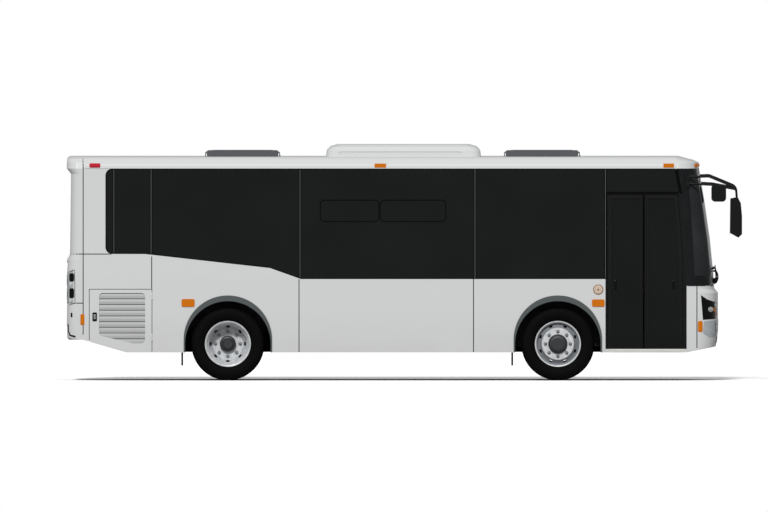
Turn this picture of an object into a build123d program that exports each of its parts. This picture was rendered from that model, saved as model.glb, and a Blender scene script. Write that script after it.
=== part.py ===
from build123d import *
import math
import os

os.makedirs("parts", exist_ok=True)

# a low-floor city bus, in millimetres: +X forward, +Y its left side, +Z up from the road

# lengths along the bus
rear_x = -4414        # lip of the roof at the back
rear_seam_x = -4200   # side walls meet the rear moulding
front_seam_x = 3690   # side walls meet the nose
nose_x = 4099         # face of the front bumper
axle_front_x = 2006
axle_rear_x = -2308
mirror_x = 4414       # foremost edge of the mirrors

# widths from the middle
body_half = 1220
lean = 30             # how far the side leans in between waist and cove
track_half = 1035     # middle of a front tyre, and of an outer rear tyre
kingpin_y = track_half - 110

# heights
skirt_z = 366
sill_z = 412          # foot of the doorway
floor_z = 500
deck_z = 860          # raised floor over the rear axle
bench_z = 1180        # plinth over the engine
waist_z = 1330
band_top_z = 2764
cove_r = 150
roof_z = 2921

# thicknesses and clearances
wall = 45
glass = 8
floor_t = 60
fit = 0.3             # soft or round pieces beside each other
beyond = body_half + 80   # cuts run from -beyond to beyond
gap = 8               # round a door or a lid
run = 0.05            # running clearance of a shaft

# wheels
tyre_r = 478
tyre_w = 275
rim_r = 300
rim_half = 105
seat_r = 285
well_r = 262
twin_pitch = 310
spindle_r = 40
hub_r = 105
cap_r = 127

cove_z = roof_z - cove_r
top_half = body_half - lean
axle_z = tyre_r


def save(node, shape):
    export_step(shape, f"parts/{node}.step")


def together(pieces):
    # separate solids of one node
    solids = []
    for piece in pieces:
        solids += piece.solids()
    return Compound(children=solids)


def block(x0, x1, y0, y1, z0, z1):
    middle = Pos((x0 + x1) / 2, (y0 + y1) / 2, (z0 + z1) / 2)
    return middle * Box(x1 - x0, y1 - y0, z1 - z0)


def across(outline, y0, y1):
    # side-view outline of (x, z) points, carried from y0 to y1
    edge = Polyline(*[(x, y0, z) for x, z in outline], close=True)
    return extrude(make_face(edge), amount=y1 - y0, dir=(0, 1, 0))


def along(outline, x0, x1):
    # end-view outline of (y, z) points, carried from x0 to x1
    edge = Polyline(*[(x0, y, z) for y, z in outline], close=True)
    return extrude(make_face(edge), amount=x1 - x0, dir=(1, 0, 0))


def rounded(x0, x1, z0, z1, radius, y0, y1):
    # rectangle with round corners in the side view, carried from y0 to y1
    face = Plane(origin=((x0 + x1) / 2, y0, (z0 + z1) / 2), x_dir=(1, 0, 0), z_dir=(0, 1, 0))
    return extrude(face * RectangleRounded(x1 - x0, z1 - z0, radius), amount=y1 - y0)


def rod(radius, start, end):
    line = Vector(*end) - Vector(*start)
    return extrude(Plane(origin=start, z_dir=line) * Circle(radius), amount=line.length)


def bent_tube(radius, points, bend):
    path = FilletPolyline(*points, radius=bend)
    profile = Plane(origin=path @ 0, z_dir=path % 0) * Circle(radius)
    return sweep(profile, path=path)


hinge_r = 6.7
hinge_rise = 7        # from a panel's face to its hinge's axis
hinge_len = 45
hinge_reach = 30
hinge_sink = 2        # a hinge plate let into its panel


def upright_hinge(x, z, toward):
    # fixed half and moving half of a hinge on the right side; the panel that moves lies toward
    y = -body_half - hinge_rise
    halves = []
    for way, low in ((-toward, z), (toward, z + hinge_len + fit)):
        x0, x1 = sorted((x, x + way * hinge_reach))
        plate = block(x0, x1, y + 3, y + hinge_rise + hinge_sink, low, low + hinge_len)
        halves.append(rod(hinge_r, (x, y, low), (x, y, low + hinge_len)) + plate)
    return halves


def cross_hinge(x, y, z, fixed_box, moving_box):
    # the same along Y: fixed_box and moving_box give each plate's x and z range
    halves = []
    for (x0, x1, z0, z1), start in ((fixed_box, y), (moving_box, y + hinge_len + fit)):
        plate = block(x0, x1, start, start + hinge_len, z0, z1)
        halves.append(rod(hinge_r, (x, start, z), (x, start + hinge_len, z)) + plate)
    return halves


def other_side(shape):
    return mirror(shape, about=Plane.XZ)


def both_sides(shape):
    return together([shape, other_side(shape)])


def side_y(z):
    # half width of the body's outer surface at height z
    if z <= waist_z:
        return body_half
    return body_half - lean * (z - waist_z) / (cove_z - waist_z)


def layer(side, outer, inner, x0, x1, z0=skirt_z, z1=cove_z):
    # slice of a side wall between two depths below its outer surface
    heights = [z0] + [waist_z] * (z0 < waist_z < z1) + [z1]
    outline = [(side * (side_y(z) - outer), z) for z in heights]
    outline += [(side * (side_y(z) - inner), z) for z in reversed(heights)]
    return along(outline, x0, x1)


# ---------------------------------------------------------------- side walls

# lower edge of the black glass band: (x, z)
band_edge = [(-3903, 1660), (-3390, 1660), (-1757, 1477), (-1351, 1333), (2628, 1333)]
band_rear_x = band_edge[0][0]
band_front_x = band_edge[-1][0]
band_corner = 85
pane_gap = 6
pane_edge = 48        # glass bonded over the wall round each window
# rear edge of each pane along the band
pane_starts = [band_rear_x, -3312, -1365, 923]
driver_pane = (2668, 3545)
header_back = 12      # from the header panel to the walls' front line

# where the walls stop at the front: (x, z)
front_line = [(front_seam_x, skirt_z), (front_seam_x, 1575), (3611, 2460), (3556, cove_z)]
# rising underside behind the rear wheels
departure = [(-3640, skirt_z), (rear_x, 592)]

# doorway in the right wall
door_rear_x = 2655
door_split_x = 3129
door_front_x = 3642
door_top_z = 2431
frame_t = 27
door_t = 40
door_gap = 6
leaf_gap = 18         # between the two leaves, so that they swing past each other
door_slant_z = 1575
door_slant = 60
door_hinge_z = (480, 1200)
door_front_hinge_x = door_front_x - door_gap / 2
door_rear_hinge_x = door_rear_x + door_gap / 2

# radiator door in the right wall, behind the rear wheel
rad_x0 = -4116
rad_x1 = -3304
rad_z1 = 1189
louvre_x0 = -3992
louvre_x1 = -3390
louvre_z0 = 485
louvre_z1 = 1143
louvre_cut_x = -3547  # cut-off lower corner
louvre_cut_z = 588
louvre_corner = 50
louvre_pitch = 74.5
louvre_count = 9
blade_t = 5
blade_lap = 14        # each blade's top hides behind the lip above it
blade_root = 6        # let into the door at both ends
blade_back = 27       # depths below the face: top edge, middle and lip
blade_bulge = 9
blade_front = 4
rad_t = 35
rad_hinge_x = rad_x1 + gap / 2
rad_hinge_z = (520, 1060)

# wheel arches
arch_r = 560
trim_lift = 56
trim_r = 578
trim_t = 12


def band_z(x):
    # height of the band's lower edge at x
    for (xa, za), (xb, zb) in zip(band_edge, band_edge[1:]):
        if x <= xb:
            return za + (zb - za) * (x - xa) / (xb - xa)
    return band_edge[-1][1]


def pane_outline(x0, x1, inset):
    low = [(x0 + inset, band_z(x0) + inset)]
    low += [(x, z + inset) for x, z in band_edge if x0 + inset < x < x1 - inset]
    low += [(x1 - inset, band_z(x1) + inset)]
    return low + [(x1 - inset, band_top_z - inset), (x0 + inset, band_top_z - inset)]


def pane_prism(x0, x1, inset):
    prism = across(pane_outline(x0, x1, inset), -beyond, beyond)
    if x0 > band_rear_x:
        return prism
    corners = prism.edges().filter_by(Axis.Y).group_by(Axis.X)[0]
    return fillet(corners, band_corner - inset)


def header_prism(inset):
    # black panel over the doorway, up to the walls' front line
    low = door_top_z + frame_t / 2 + pane_gap
    (xa, za), (xb, zb) = front_line[2:]
    outline = [(band_front_x + pane_gap + inset, low + inset)]
    outline += [(band_front_x + pane_gap + inset, band_top_z - inset)]
    for z in (band_top_z - inset, max(za, low + inset)):
        outline.append((xa + (xb - xa) * (z - za) / (zb - za) - header_back - inset, z))
    return across(outline, -beyond, beyond)


def pane_spans(side):
    ends = pane_starts[1:] + [band_front_x]
    spans = [(x0, x1 - pane_gap) for x0, x1 in zip(pane_starts, ends)]
    if side > 0:
        spans.append(driver_pane)
    return spans


def side_glass(side):
    panes = []
    for x0, x1 in pane_spans(side):
        sheet = layer(side, 0, glass, x0, x1, waist_z)
        panes.append(sheet & pane_prism(x0, x1, 0))
    if side < 0:
        panes.append(layer(side, 0, glass, band_front_x, front_seam_x, waist_z) & header_prism(0))
    return panes


def arch(radius, lift, low_z=0):
    # outline solid of a wheel opening about the axle at x = 0
    tunnel = rod(radius, (0, -beyond, axle_z + lift), (0, beyond, axle_z + lift))
    return tunnel + block(-radius, radius, -beyond, beyond, low_z, axle_z + lift)


def door_outline(spread):
    # the doorway, widened all round by spread
    return [
        (door_rear_x - spread, sill_z),
        (door_rear_x - spread, door_top_z + spread),
        (door_front_x - door_slant + spread, door_top_z + spread),
        (door_front_x + spread, door_slant_z),
        (door_front_x + spread, sill_z),
    ]


def frame_outline():
    # outer edge of the door frame, which meets the nose along the walls' front line
    top = door_top_z + frame_t / 2
    (x0, z0), (x1, z1) = front_line[1:3]
    corner_x = x0 + (x1 - x0) * (top - z0) / (z1 - z0)
    return [
        (door_rear_x - frame_t, sill_z),
        (door_rear_x - frame_t, top),
        (corner_x, top),
        (x0, z0),
        (front_seam_x, sill_z),
    ]


def rad_outline(spread):
    return [
        (rad_x0 - spread, rad_z1 + spread),
        (rad_x1 + spread, rad_z1 + spread),
        (rad_x1 + spread, 0),
        (rad_x0 - spread, 0),
    ]


def below_departure():
    (x0, z0), (x1, z1) = departure
    return across([(x0, z0), (x1, z1), (x1, 0), (x0 + 900, 0), (x0 + 900, z0)], -beyond, beyond)


def ahead_of_walls():
    far = nose_x + 300
    return across(front_line + [(far, cove_z), (far, skirt_z)], -beyond, beyond)


def side_wall(side):
    body = layer(side, 0, wall, rear_seam_x, front_seam_x)
    body -= ahead_of_walls()
    for x0, x1 in pane_spans(side):
        sheet = layer(side, -5, glass, x0, x1, waist_z)
        body -= sheet & pane_prism(x0, x1, 0)
        body -= pane_prism(x0, x1, pane_edge)
    for x in (axle_front_x, axle_rear_x):
        body -= Pos(x, 0, 0) * arch(arch_r, 0)
    body -= below_departure()
    if side < 0:
        body -= layer(side, -5, glass, band_front_x, front_seam_x, waist_z) & header_prism(0)
        body -= across(frame_outline(), -beyond, beyond)
        body -= across(rad_outline(gap), -beyond, beyond)
        for z in rad_hinge_z:
            body += upright_hinge(rad_hinge_x, z, -1)[0]
    return body


save("right_wall", side_wall(-1))
save("left_wall", side_wall(1))
save("side_windows", together(side_glass(-1) + side_glass(1)))

# ---------------------------------------------------------------- door frame, leaves and radiator door

handle_t = 14


def portal():
    frame = layer(-1, 0, wall, door_rear_x - 100, front_seam_x, sill_z)
    frame &= across(frame_outline(), -beyond, beyond)
    frame -= across(door_outline(0), -beyond, beyond)
    for z in door_hinge_z:
        frame += upright_hinge(door_front_hinge_x, z, -1)[0]
        frame += upright_hinge(door_rear_hinge_x, z, 1)[0]
    return frame


def leaf_outline(front, inset):
    # front or rear leaf, drawn in by inset from its own edges
    top = door_top_z - door_gap - inset
    low = sill_z + door_gap + inset
    if front:
        x0 = door_split_x + leaf_gap / 2 + inset
        x1 = door_front_x - door_gap - inset
        return [(x0, low), (x0, top), (x1 - door_slant, top), (x1, door_slant_z), (x1, low)]
    x0 = door_rear_x + door_gap + inset
    x1 = door_split_x - leaf_gap / 2 - inset
    return [(x0, low), (x0, top), (x1, top), (x1, low)]


kick_z = 600
leaf_edge = 46
pane_depth = 12


def leaf_parts(front):
    window = leaf_outline(front, leaf_edge)
    window = [(x, max(z, kick_z)) for x, z in window]
    opening = across(window, -beyond, beyond)
    panel = layer(-1, 0, door_t, door_rear_x, front_seam_x, sill_z, door_top_z)
    leaf = (panel & across(leaf_outline(front, 0), -beyond, beyond)) - opening
    for z in door_hinge_z:
        if front:
            leaf += upright_hinge(door_front_hinge_x, z, -1)[1]
        else:
            leaf += upright_hinge(door_rear_hinge_x, z, 1)[1]
    sheet = layer(-1, pane_depth, pane_depth + glass, door_rear_x, front_seam_x, sill_z, door_top_z)
    return leaf, sheet & opening


def blade(top):
    # section of one louvre, bulging outward from its tucked-in top edge to its lower lip
    middle = top - louvre_pitch * 0.45
    lip = top - louvre_pitch + 4
    outer = [(blade_back, top + blade_lap), (blade_bulge, middle), (blade_front, lip)]
    inner = [(depth + blade_t, z - 1) for depth, z in outer]
    start_x = louvre_x0 - blade_root
    ends = [[(start_x, depth - body_half, z) for depth, z in arc] for arc in (outer, inner)]
    edges = [
        ThreePointArc(*ends[0]),
        Line(ends[0][2], ends[1][2]),
        ThreePointArc(*ends[1]),
        Line(ends[1][0], ends[0][0]),
    ]
    length = louvre_x1 - louvre_x0 + 2 * blade_root
    return extrude(make_face(edges), amount=length, dir=(1, 0, 0))


def louvre_field(spread, radius):
    # the louvred opening's outline, its lower rear corner cut off along the departure line
    x0 = louvre_x0 - spread
    x1 = louvre_x1 + spread
    low = louvre_z0 - spread
    top = louvre_z1 + spread
    outline = [(x0, louvre_cut_z), (x0, top), (x1, top), (x1, low), (louvre_cut_x, low)]
    field = across(outline, -beyond, -body_half + rad_t)
    return fillet(field.edges().filter_by(Axis.Y), radius)


def radiator_door():
    door = layer(-1, 0, rad_t, rad_x0, rad_x1, skirt_z, rad_z1)
    door &= across(rad_outline(0), -beyond, beyond)
    door -= below_departure()
    door -= louvre_field(0, louvre_corner)
    seat = louvre_field(blade_root, louvre_corner + blade_root)
    for index in range(louvre_count):
        door += blade(louvre_z1 - index * louvre_pitch) & seat
    for z in rad_hinge_z:
        door += upright_hinge(rad_hinge_x, z, -1)[1]
    return door


save("door_frame", portal())
for place, is_front in (("front", True), ("rear", False)):
    leaf, pane = leaf_parts(is_front)
    save(f"door_leaf_{place}", leaf)
    save(f"door_glass_{place}", pane)
save("radiator_door", radiator_door())

# ---------------------------------------------------------------- nose and tail mouldings

shell_t = 40
nose_low_z = 438
fascia_top_z = 1238
# nose outline by height: height, foremost x, set-back of the corner arc's ends
nose_sections = [
    (skirt_z, 4060, 32, 285),
    (529, 4086, 32, 285),
    (621, nose_x, 32, 285),
    (1144, nose_x, 32, 285),
    (1196, 4052, 32, 280),
    (fascia_top_z, 4046, 32, 280),
]
screen_sections = [
    (fascia_top_z, 4046, 32, 280),
    (1444, 4033, 32, 280),
    (1836, 3994, 32, 280),
    (2294, 3929, 32, 270),
    (cove_z, 3850, 32, 260),
]
crown_sections = [
    (cove_z, 3850, 32, 260),
    (2843, 3846, 32, 260),
    (2878, 3770, 30, 205),
    (2906, 3650, 22, 100),
    (roof_z, 3590, 10, 20),
]
nose_back_x = 3480
corner_y = 260        # width of the corner arc
# rear outline by height
tail_sections = [
    (1013, rear_x + 4, 140),
    (1399, rear_x + 4, 140),
    (1575, rear_x + 17, 140),
    (1640, rear_x + 43, 140),
    (2700, rear_x + 56, 140),
    (cove_z, rear_x, 140),
    (2850, rear_x + 2, 140),
    (2900, rear_x + 12, 140),
    (roof_z, rear_x + 46, 120),
]
bumper_sections = [
    (530, rear_x + 30, 140),
    (560, rear_x + 4, 140),
    (1009, rear_x + 4, 140),
]


def half_at(z):
    # half width at height z, following the cove above the walls
    if z <= cove_z:
        return side_y(z)
    rise = z - cove_z
    return top_half - cove_r + math.sqrt(cove_r ** 2 - rise ** 2)


def nose_section(z, front, bow, corner, inset):
    half = half_at(z) - inset
    tip = front - inset
    y2 = half - corner_y + inset / 2
    x2 = tip - bow
    x1 = tip - corner
    mid = (x1 + 0.74 * (x2 - x1), y2 + 0.70 * (half - y2))
    edges = [
        Line((nose_back_x, half, z), (x1, half, z)),
        ThreePointArc((x1, half, z), (*mid, z), (x2, y2, z)),
        ThreePointArc((x2, y2, z), (tip, 0, z), (x2, -y2, z)),
        ThreePointArc((x2, -y2, z), (mid[0], -mid[1], z), (x1, -half, z)),
        Line((x1, -half, z), (nose_back_x, -half, z)),
        Line((nose_back_x, -half, z), (nose_back_x, half, z)),
    ]
    return make_face(edges)


def tail_section(z, back, radius, inset):
    half = half_at(z) - inset
    x0 = back + inset
    r = radius - inset
    k = r * (1 - math.sqrt(0.5))
    edges = [
        Line((rear_seam_x, half, z), (x0 + r, half, z)),
        ThreePointArc((x0 + r, half, z), (x0 + k, half - k, z), (x0, half - r, z)),
        Line((x0, half - r, z), (x0, r - half, z)),
        ThreePointArc((x0, r - half, z), (x0 + k, k - half, z), (x0 + r, -half, z)),
        Line((x0 + r, -half, z), (rear_seam_x, -half, z)),
        Line((rear_seam_x, -half, z), (rear_seam_x, half, z)),
    ]
    return make_face(edges)


def nose_solid(sections, inset):
    faces = [nose_section(z, front, bow, corner, inset) for z, front, bow, corner in sections]
    return loft(faces, ruled=True)


def tail_solid(sections, inset):
    faces = [tail_section(z, back, radius, inset) for z, back, radius in sections]
    return loft(faces, ruled=True)


# windscreen in the side view
screen_outline = [(3798, 1372), (4300, 1372), (4300, 2690), (3700, 2690), (3740, 2294)]
screen_aperture = [(3850, 1430), (4300, 1430), (4300, 2640), (3765, 2640), (3795, 2294)]
# headlamp and fog lamp recess in the side view
headlamp_outline = [(3876, 1117), (3960, 1060), (4300, 940), (4300, 820), (3902, 791)]
fog_outline = [(3915, 775), (4300, 800), (4300, 590), (3985, 560), (3902, 614)]
lamp_t = 30
lamp_in = 520         # how far the front lamps reach in from the sides
tail_lamp_in = 210


def fascia():
    shell = nose_solid(nose_sections, 0) - nose_solid(nose_sections, shell_t)
    shell -= block(nose_back_x - 1, front_seam_x, -beyond, beyond, 0, fascia_top_z + 1)
    far = nose_x + 200
    under = [(front_seam_x, skirt_z), (4046, nose_low_z), (far, nose_low_z + 7), (far, 0)]
    under.append((front_seam_x, 0))
    shell -= across(under, -beyond, beyond)
    skin = nose_solid(nose_sections, 0) - nose_solid(nose_sections, lamp_t)
    headlamps = []
    fogs = []
    for side in (-1, 1):
        reach = sorted((side * beyond, side * (body_half - lamp_in)))
        zone = across(headlamp_outline, *reach)
        recess = across(fog_outline, *reach)
        headlamps.append(skin & zone)
        fogs.append(skin & recess)
    for lamp in headlamps + fogs:
        shell -= lamp
    return shell, together(headlamps), together(fogs)


def mask():
    outer = nose_solid(screen_sections, 0)
    shell = (outer - nose_solid(screen_sections, shell_t)) & ahead_of_walls()
    sheet = outer - nose_solid(screen_sections, glass)
    screen = sheet & across(screen_outline, -beyond, beyond)
    shell -= screen
    return shell - across(screen_aperture, -beyond, beyond), screen


def inner_roof(z):
    # height of the ceiling face under a point of the outer roof at height z
    return z - shell_t * max(0, z - cove_z) / cove_r


def crown():
    outer = nose_solid(crown_sections, 0)
    hollow = [(inner_roof(z), front, bow, corner) for z, front, bow, corner in crown_sections]
    faces = []
    for (z, front, bow, corner), (low, *_) in zip(crown_sections, hollow):
        faces.append(Pos(0, 0, low - z) * nose_section(z, front, bow, corner, shell_t * 0.9))
    shell = outer - loft(faces, ruled=True)
    return shell - block(nose_back_x - 1, 3556, -beyond, beyond, cove_z - 1, roof_z + 1)


rear_window = (860, 1720, 2600)   # half width, sill and top
engine_door_half = 760
engine_door_z0 = 1030
engine_door_z1 = 1560
engine_door_t = 35


def rear_rect(half, z0, z1, radius, x0, x1):
    face = Plane(origin=(x0, 0, (z0 + z1) / 2), x_dir=(0, 1, 0), z_dir=(1, 0, 0))
    return extrude(face * RectangleRounded(2 * half, z1 - z0, radius), amount=x1 - x0)


def rear_moulding():
    outer = tail_solid(tail_sections, 0)
    faces = []
    for z, back, radius in tail_sections:
        faces.append(Pos(0, 0, inner_roof(z) - z) * tail_section(z, back, radius, shell_t))
    shell = outer - loft(faces, ruled=True)
    half, sill, top = rear_window
    sheet = outer - tail_solid(tail_sections, glass)
    pane = sheet & rear_rect(half, sill, top, 80, rear_x - 10, rear_x + 200)
    shell -= pane
    shell -= rear_rect(half - pane_edge, sill + pane_edge, top - pane_edge, 60, rear_x - 10, rear_x + 200)
    door_low = engine_door_z0 - gap
    door_high = engine_door_z1 + gap
    shell -= rear_rect(engine_door_half + gap, door_low, door_high, 20, rear_x - 10, rear_x + 150)
    door = outer - tail_solid(tail_sections, engine_door_t)
    door &= rear_rect(engine_door_half, engine_door_z0, engine_door_z1, 14, rear_x - 10, rear_x + 150)
    for index in range(5):
        z = 1120 + index * 56
        door -= block(rear_x - 10, rear_x + 150, -520, 520, z, z + 22)
    for y in (-600, 510):
        x = rear_x + 6
        z = engine_door_z1 + gap / 2
        still = (x, x + 26, z, z + hinge_reach)
        moving = (x - 1, x + 20, z - hinge_reach, z)
        still_half, moving_half = cross_hinge(x, y, z, still, moving)
        shell += still_half
        door += moving_half
    return shell, pane, door


tail_lamp_outline = [(-4330, 1457), (rear_x - 20, 1392), (rear_x - 20, 965), (-4330, 1013)]


def rear_lamps(shell):
    skin = tail_solid(tail_sections, 0) - tail_solid(tail_sections, 25)
    lamps = []
    for side in (-1, 1):
        reach = sorted((side * beyond, side * (body_half - tail_lamp_in)))
        lamps.append(skin & across(tail_lamp_outline, *reach))
    for lamp in lamps:
        shell -= lamp
    return shell, together(lamps)


nose_skin, headlamps, fog_lamps = fascia()
save("front_fascia", nose_skin)
save("headlamps", headlamps)
save("fog_lamps", fog_lamps)
front_mask, windscreen = mask()
save("front_mask", front_mask)
save("windscreen", windscreen)
save("roof_crown", crown())
tail_skin, rear_pane, engine_door = rear_moulding()
tail_skin, tail_lamps = rear_lamps(tail_skin)
save("rear_moulding", tail_skin)
save("rear_window", rear_pane)
save("engine_door", engine_door)
save("tail_lamps", tail_lamps)
bumper = tail_solid(bumper_sections, 0) - tail_solid(bumper_sections, shell_t)
save("rear_bumper", bumper)

# ---------------------------------------------------------------- roof

roof_front_x = 3556
lid_half = 380
lid_rise = 79
lid_wall = 12
curb_rise = 30
lid_clear = 8
lid_hinge_y = (-260, 170)
# rear and front edges of the two roof lids
roof_lids = {"rear": (-2606, -1626), "front": (1302, 2295)}
pod_x0 = -1025
pod_x1 = 1001
pod_half = 780
pod_rise = 157
pod_slope = 150


def roof_outline(inset, x):
    half = top_half - inset
    r = cove_r - inset
    k = r * math.sqrt(0.5)
    y1 = half - r
    top = cove_z + r
    edges = [
        ThreePointArc((x, half, cove_z), (x, y1 + k, cove_z + k), (x, y1, top)),
        Line((x, y1, top), (x, -y1, top)),
        ThreePointArc((x, -y1, top), (x, -y1 - k, cove_z + k), (x, -half, cove_z)),
        Line((x, -half, cove_z), (x, half, cove_z)),
    ]
    return make_face(edges)


def roof_shell():
    length = roof_front_x - rear_seam_x
    shell = extrude(roof_outline(0, rear_seam_x), amount=length, dir=(1, 0, 0))
    shell -= extrude(roof_outline(wall, rear_seam_x), amount=length, dir=(1, 0, 0))
    for x0, x1 in roof_lids.values():
        inset = lid_wall + lid_clear
        hole = lid_half - inset
        shell += block(x0 + inset, x1 - inset, -hole, hole, roof_z - wall, roof_z + curb_rise)
        inset += 20
        hole -= 20
        shell -= block(x0 + inset, x1 - inset, -hole, hole, roof_z - 200, roof_z + 200)
        for y in lid_hinge_y:
            shell += lid_hinge(x1, y)[0]
    return shell


def lid_hinge(x1, y):
    x = x1 + gap
    z = roof_z + hinge_rise
    still = (x, x + hinge_reach, roof_z - hinge_sink, roof_z + 4)
    moving = (x1 - 4, x, roof_z + lid_clear, z + 5)
    return cross_hinge(x, y, z, still, moving)


def roof_lid(x0, x1):
    low = roof_z + lid_clear
    top = roof_z + lid_rise
    base = Pos((x0 + x1) / 2, 0, low) * RectangleRounded(x1 - x0, 2 * lid_half, 60)
    crest = Pos((x0 + x1) / 2, 0, top) * RectangleRounded(x1 - x0 - 80, 2 * lid_half - 80, 40)
    shoulder = Pos((x0 + x1) / 2, 0, top - 30) * RectangleRounded(x1 - x0, 2 * lid_half, 60)
    lid = loft([base, shoulder, crest], ruled=True)
    w = lid_wall
    lid -= block(x0 + w, x1 - w, w - lid_half, lid_half - w, low - 1, top - 36)
    for y in lid_hinge_y:
        lid += lid_hinge(x1, y)[1]
    return lid


def roof_pod():
    top = roof_z + pod_rise
    middle = (pod_x0 + pod_x1) / 2
    length = pod_x1 - pod_x0
    faces = [
        Pos(middle, 0, roof_z) * RectangleRounded(length, 2 * pod_half, 120),
        Pos(middle, 0, roof_z + 80) * RectangleRounded(length - 20, 2 * pod_half - 10, 120),
        Pos(middle, 0, roof_z + 130) * RectangleRounded(length - 120, 2 * pod_half - 80, 110),
        Pos(middle, 0, top) * RectangleRounded(length - 2 * pod_slope, 2 * pod_half - 200, 100),
    ]
    pod = loft(faces, ruled=True)
    groove = rounded(-855, 753, roof_z + 10, roof_z + 66, 27, -pod_half - 5, -pod_half + 12)
    return pod - groove - other_side(groove)


save("roof_shell", roof_shell())
for place, (x0, x1) in roof_lids.items():
    save(f"roof_hatch_{place}", roof_lid(x0, x1))
save("roof_pod", roof_pod())

# ---------------------------------------------------------------- floor, wheel boxes and chassis

deck_x = -1400        # riser up to the raised floor
bench_x = -3300       # riser up to the engine plinth
inner_half = body_half - wall
box_t = 15
front_box_y = track_half - 460   # inner walls of the wheel boxes
rear_box_y = track_half - 475
platform_x = 2750
platform_y = 150      # inner edge of the driver's platform
screen_gap = 4
screen_t = 30
screen_top_z = 1900
platform_z = 640
rail_y0 = 380
rail_y1 = 450
rail_low_z = 370
rear_rail_z0 = 620
rear_rail_z1 = 740
lash_r = 18           # lashing holes in brackets beside the rails
lash_half = 45
lash_t = 20
jack_half = 60        # jacking pads under the rails
jack_t = 8
# places of the brackets and pads along the bus, with the height of the rail's underside
step_in = 370          # how far the entrance step reaches in from the side
step_t = 40


def wheel_volume(x, inner_y, spread):
    space = block(x - 700, x + 700, inner_y - spread, inner_half, 0, roof_z)
    return both_sides(Pos(x, 0, 0) * arch(arch_r + spread, 0, -1) & space)


def cabin_floor():
    low = floor_z - floor_t
    deck_low = deck_z - floor_t
    half = inner_half
    floor = block(deck_x, front_seam_x, -half, half, low, floor_z)
    floor += block(deck_x - box_t, deck_x, -half, half, low, deck_z)
    floor += block(bench_x, deck_x, -half, half, deck_low, deck_z)
    floor += block(bench_x - box_t, bench_x, -half, half, deck_low, bench_z)
    floor += block(rear_seam_x, bench_x, -half, half, bench_z - box_t, bench_z)
    floor += block(platform_x, front_seam_x, platform_y, half, floor_z, platform_z)
    step_y = step_in - body_half
    floor -= block(door_rear_x, door_front_x, -half - 1, step_y, low - 1, floor_z + 1)
    floor += block(door_rear_x, door_front_x, -half, step_y, sill_z - step_t, sill_z)
    floor += block(door_rear_x, door_front_x, step_y, step_y + box_t, sill_z - step_t, floor_z)
    floor -= wheel_volume(axle_front_x, front_box_y, box_t)
    floor -= wheel_volume(axle_rear_x, rear_box_y, box_t)
    return floor


def wheel_boxes():
    boxes = []
    for x, y, low in ((axle_front_x, front_box_y, floor_z - floor_t), (axle_rear_x, rear_box_y, 700)):
        shell = Pos(x, 0, 0) * (arch(arch_r + box_t, 0, 0) - arch(arch_r, 0, 0))
        shell &= block(x - 700, x + 700, y, inner_half, low, roof_z)
        plate = Pos(x, 0, 0) * arch(arch_r + box_t, 0, 0)
        plate &= block(x - 700, x + 700, y - box_t, y, low, roof_z)
        boxes.append(shell + plate)
    return together(boxes + [other_side(box) for box in boxes])


def rail_brackets():
    # lashing brackets with an upright hole beside the rails, and jacking pads under them
    parts = []
    for lash_x, jack_x, z in ((3300, 1300, rail_low_z), (-4150, -3600, rear_rail_z0)):
        x0 = lash_x - lash_half
        plate = block(x0, x0 + 2 * lash_half, rail_y1, rail_y1 + 2 * lash_half, z, z + lash_t)
        y = rail_y1 + lash_half
        parts.append(plate - rod(lash_r, (lash_x, y, z - 1), (lash_x, y, z + lash_t + 1)))
        x0 = jack_x - jack_half
        parts.append(block(x0, x0 + 2 * jack_half, rail_y0 + 5, rail_y1 - 5, z - jack_t, z))
    return together(parts + [other_side(part) for part in parts])


low_rail_top_z = floor_z - floor_t
post_x = [-3200, -1700]
member_w = 80
front_member_x = [-1100, 0, 1100, 2700, 3500]
rear_member_x = [-2900, -1800, rear_x + 44]
nose_member = (3920, 3980, 460, 560)
outrigger_w = 60
rail_front_x = 3640


def chassis_frame():
    # two cranked rails, low between the axles and ahead, raised behind
    kick_x = deck_x - 100
    rail = block(kick_x, rail_front_x, rail_y0, rail_y1, rail_low_z, low_rail_top_z)
    rail += block(kick_x, deck_x - box_t, rail_y0, rail_y1, rail_low_z, rear_rail_z1)
    rail += block(rear_x + 44, deck_x - box_t, rail_y0, rail_y1, rear_rail_z0, rear_rail_z1)
    return together([rail, other_side(rail)])


def front_horns():
    # bolted to the rails' front ends and rising to the nose member
    tip_x, tip_z0, tip_z1 = nose_member[1:]
    outline = [(rail_front_x, rail_low_z), (rail_front_x + 60, rail_low_z), (tip_x, tip_z0)]
    outline += [(tip_x, tip_z1), (rail_front_x + 54, low_rail_top_z), (rail_front_x, low_rail_top_z)]
    horn = across(outline, rail_y0, rail_y1)
    return together([horn, other_side(horn)])


def cross_members():
    # beams between the rails, posts under the raised floor and outriggers under the low floor's edges
    parts = []
    for x in front_member_x:
        parts.append(block(x, x + member_w, -rail_y0, rail_y0, rail_low_z, low_rail_top_z))
    for x in rear_member_x:
        parts.append(block(x, x + member_w, -rail_y0, rail_y0, rear_rail_z0, rear_rail_z1))
    x0, x1, z0, z1 = nose_member
    parts.append(block(x0, x1, -rail_y0, rail_y0, z0, z1))
    for x in post_x:
        post = block(x, x + member_w, rail_y0, rail_y1, rear_rail_z1, deck_z - floor_t)
        parts.extend([post, other_side(post)])
    # the entrance step takes the place of one outrigger
    for x, sides in ((-900, (-1, 1)), (300, (-1, 1)), (2900, (1,))):
        for side in sides:
            y0, y1 = sorted((side * rail_y1, side * inner_half))
            parts.append(block(x, x + outrigger_w, y0, y1, rail_low_z + 20, low_rail_top_z))
    return together(parts)


save("cabin_floor", cabin_floor())
save("wheel_boxes", wheel_boxes())
save("chassis_frame", chassis_frame())
save("front_horns", front_horns())
save("cross_members", cross_members())
save("rail_brackets", rail_brackets())

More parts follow.
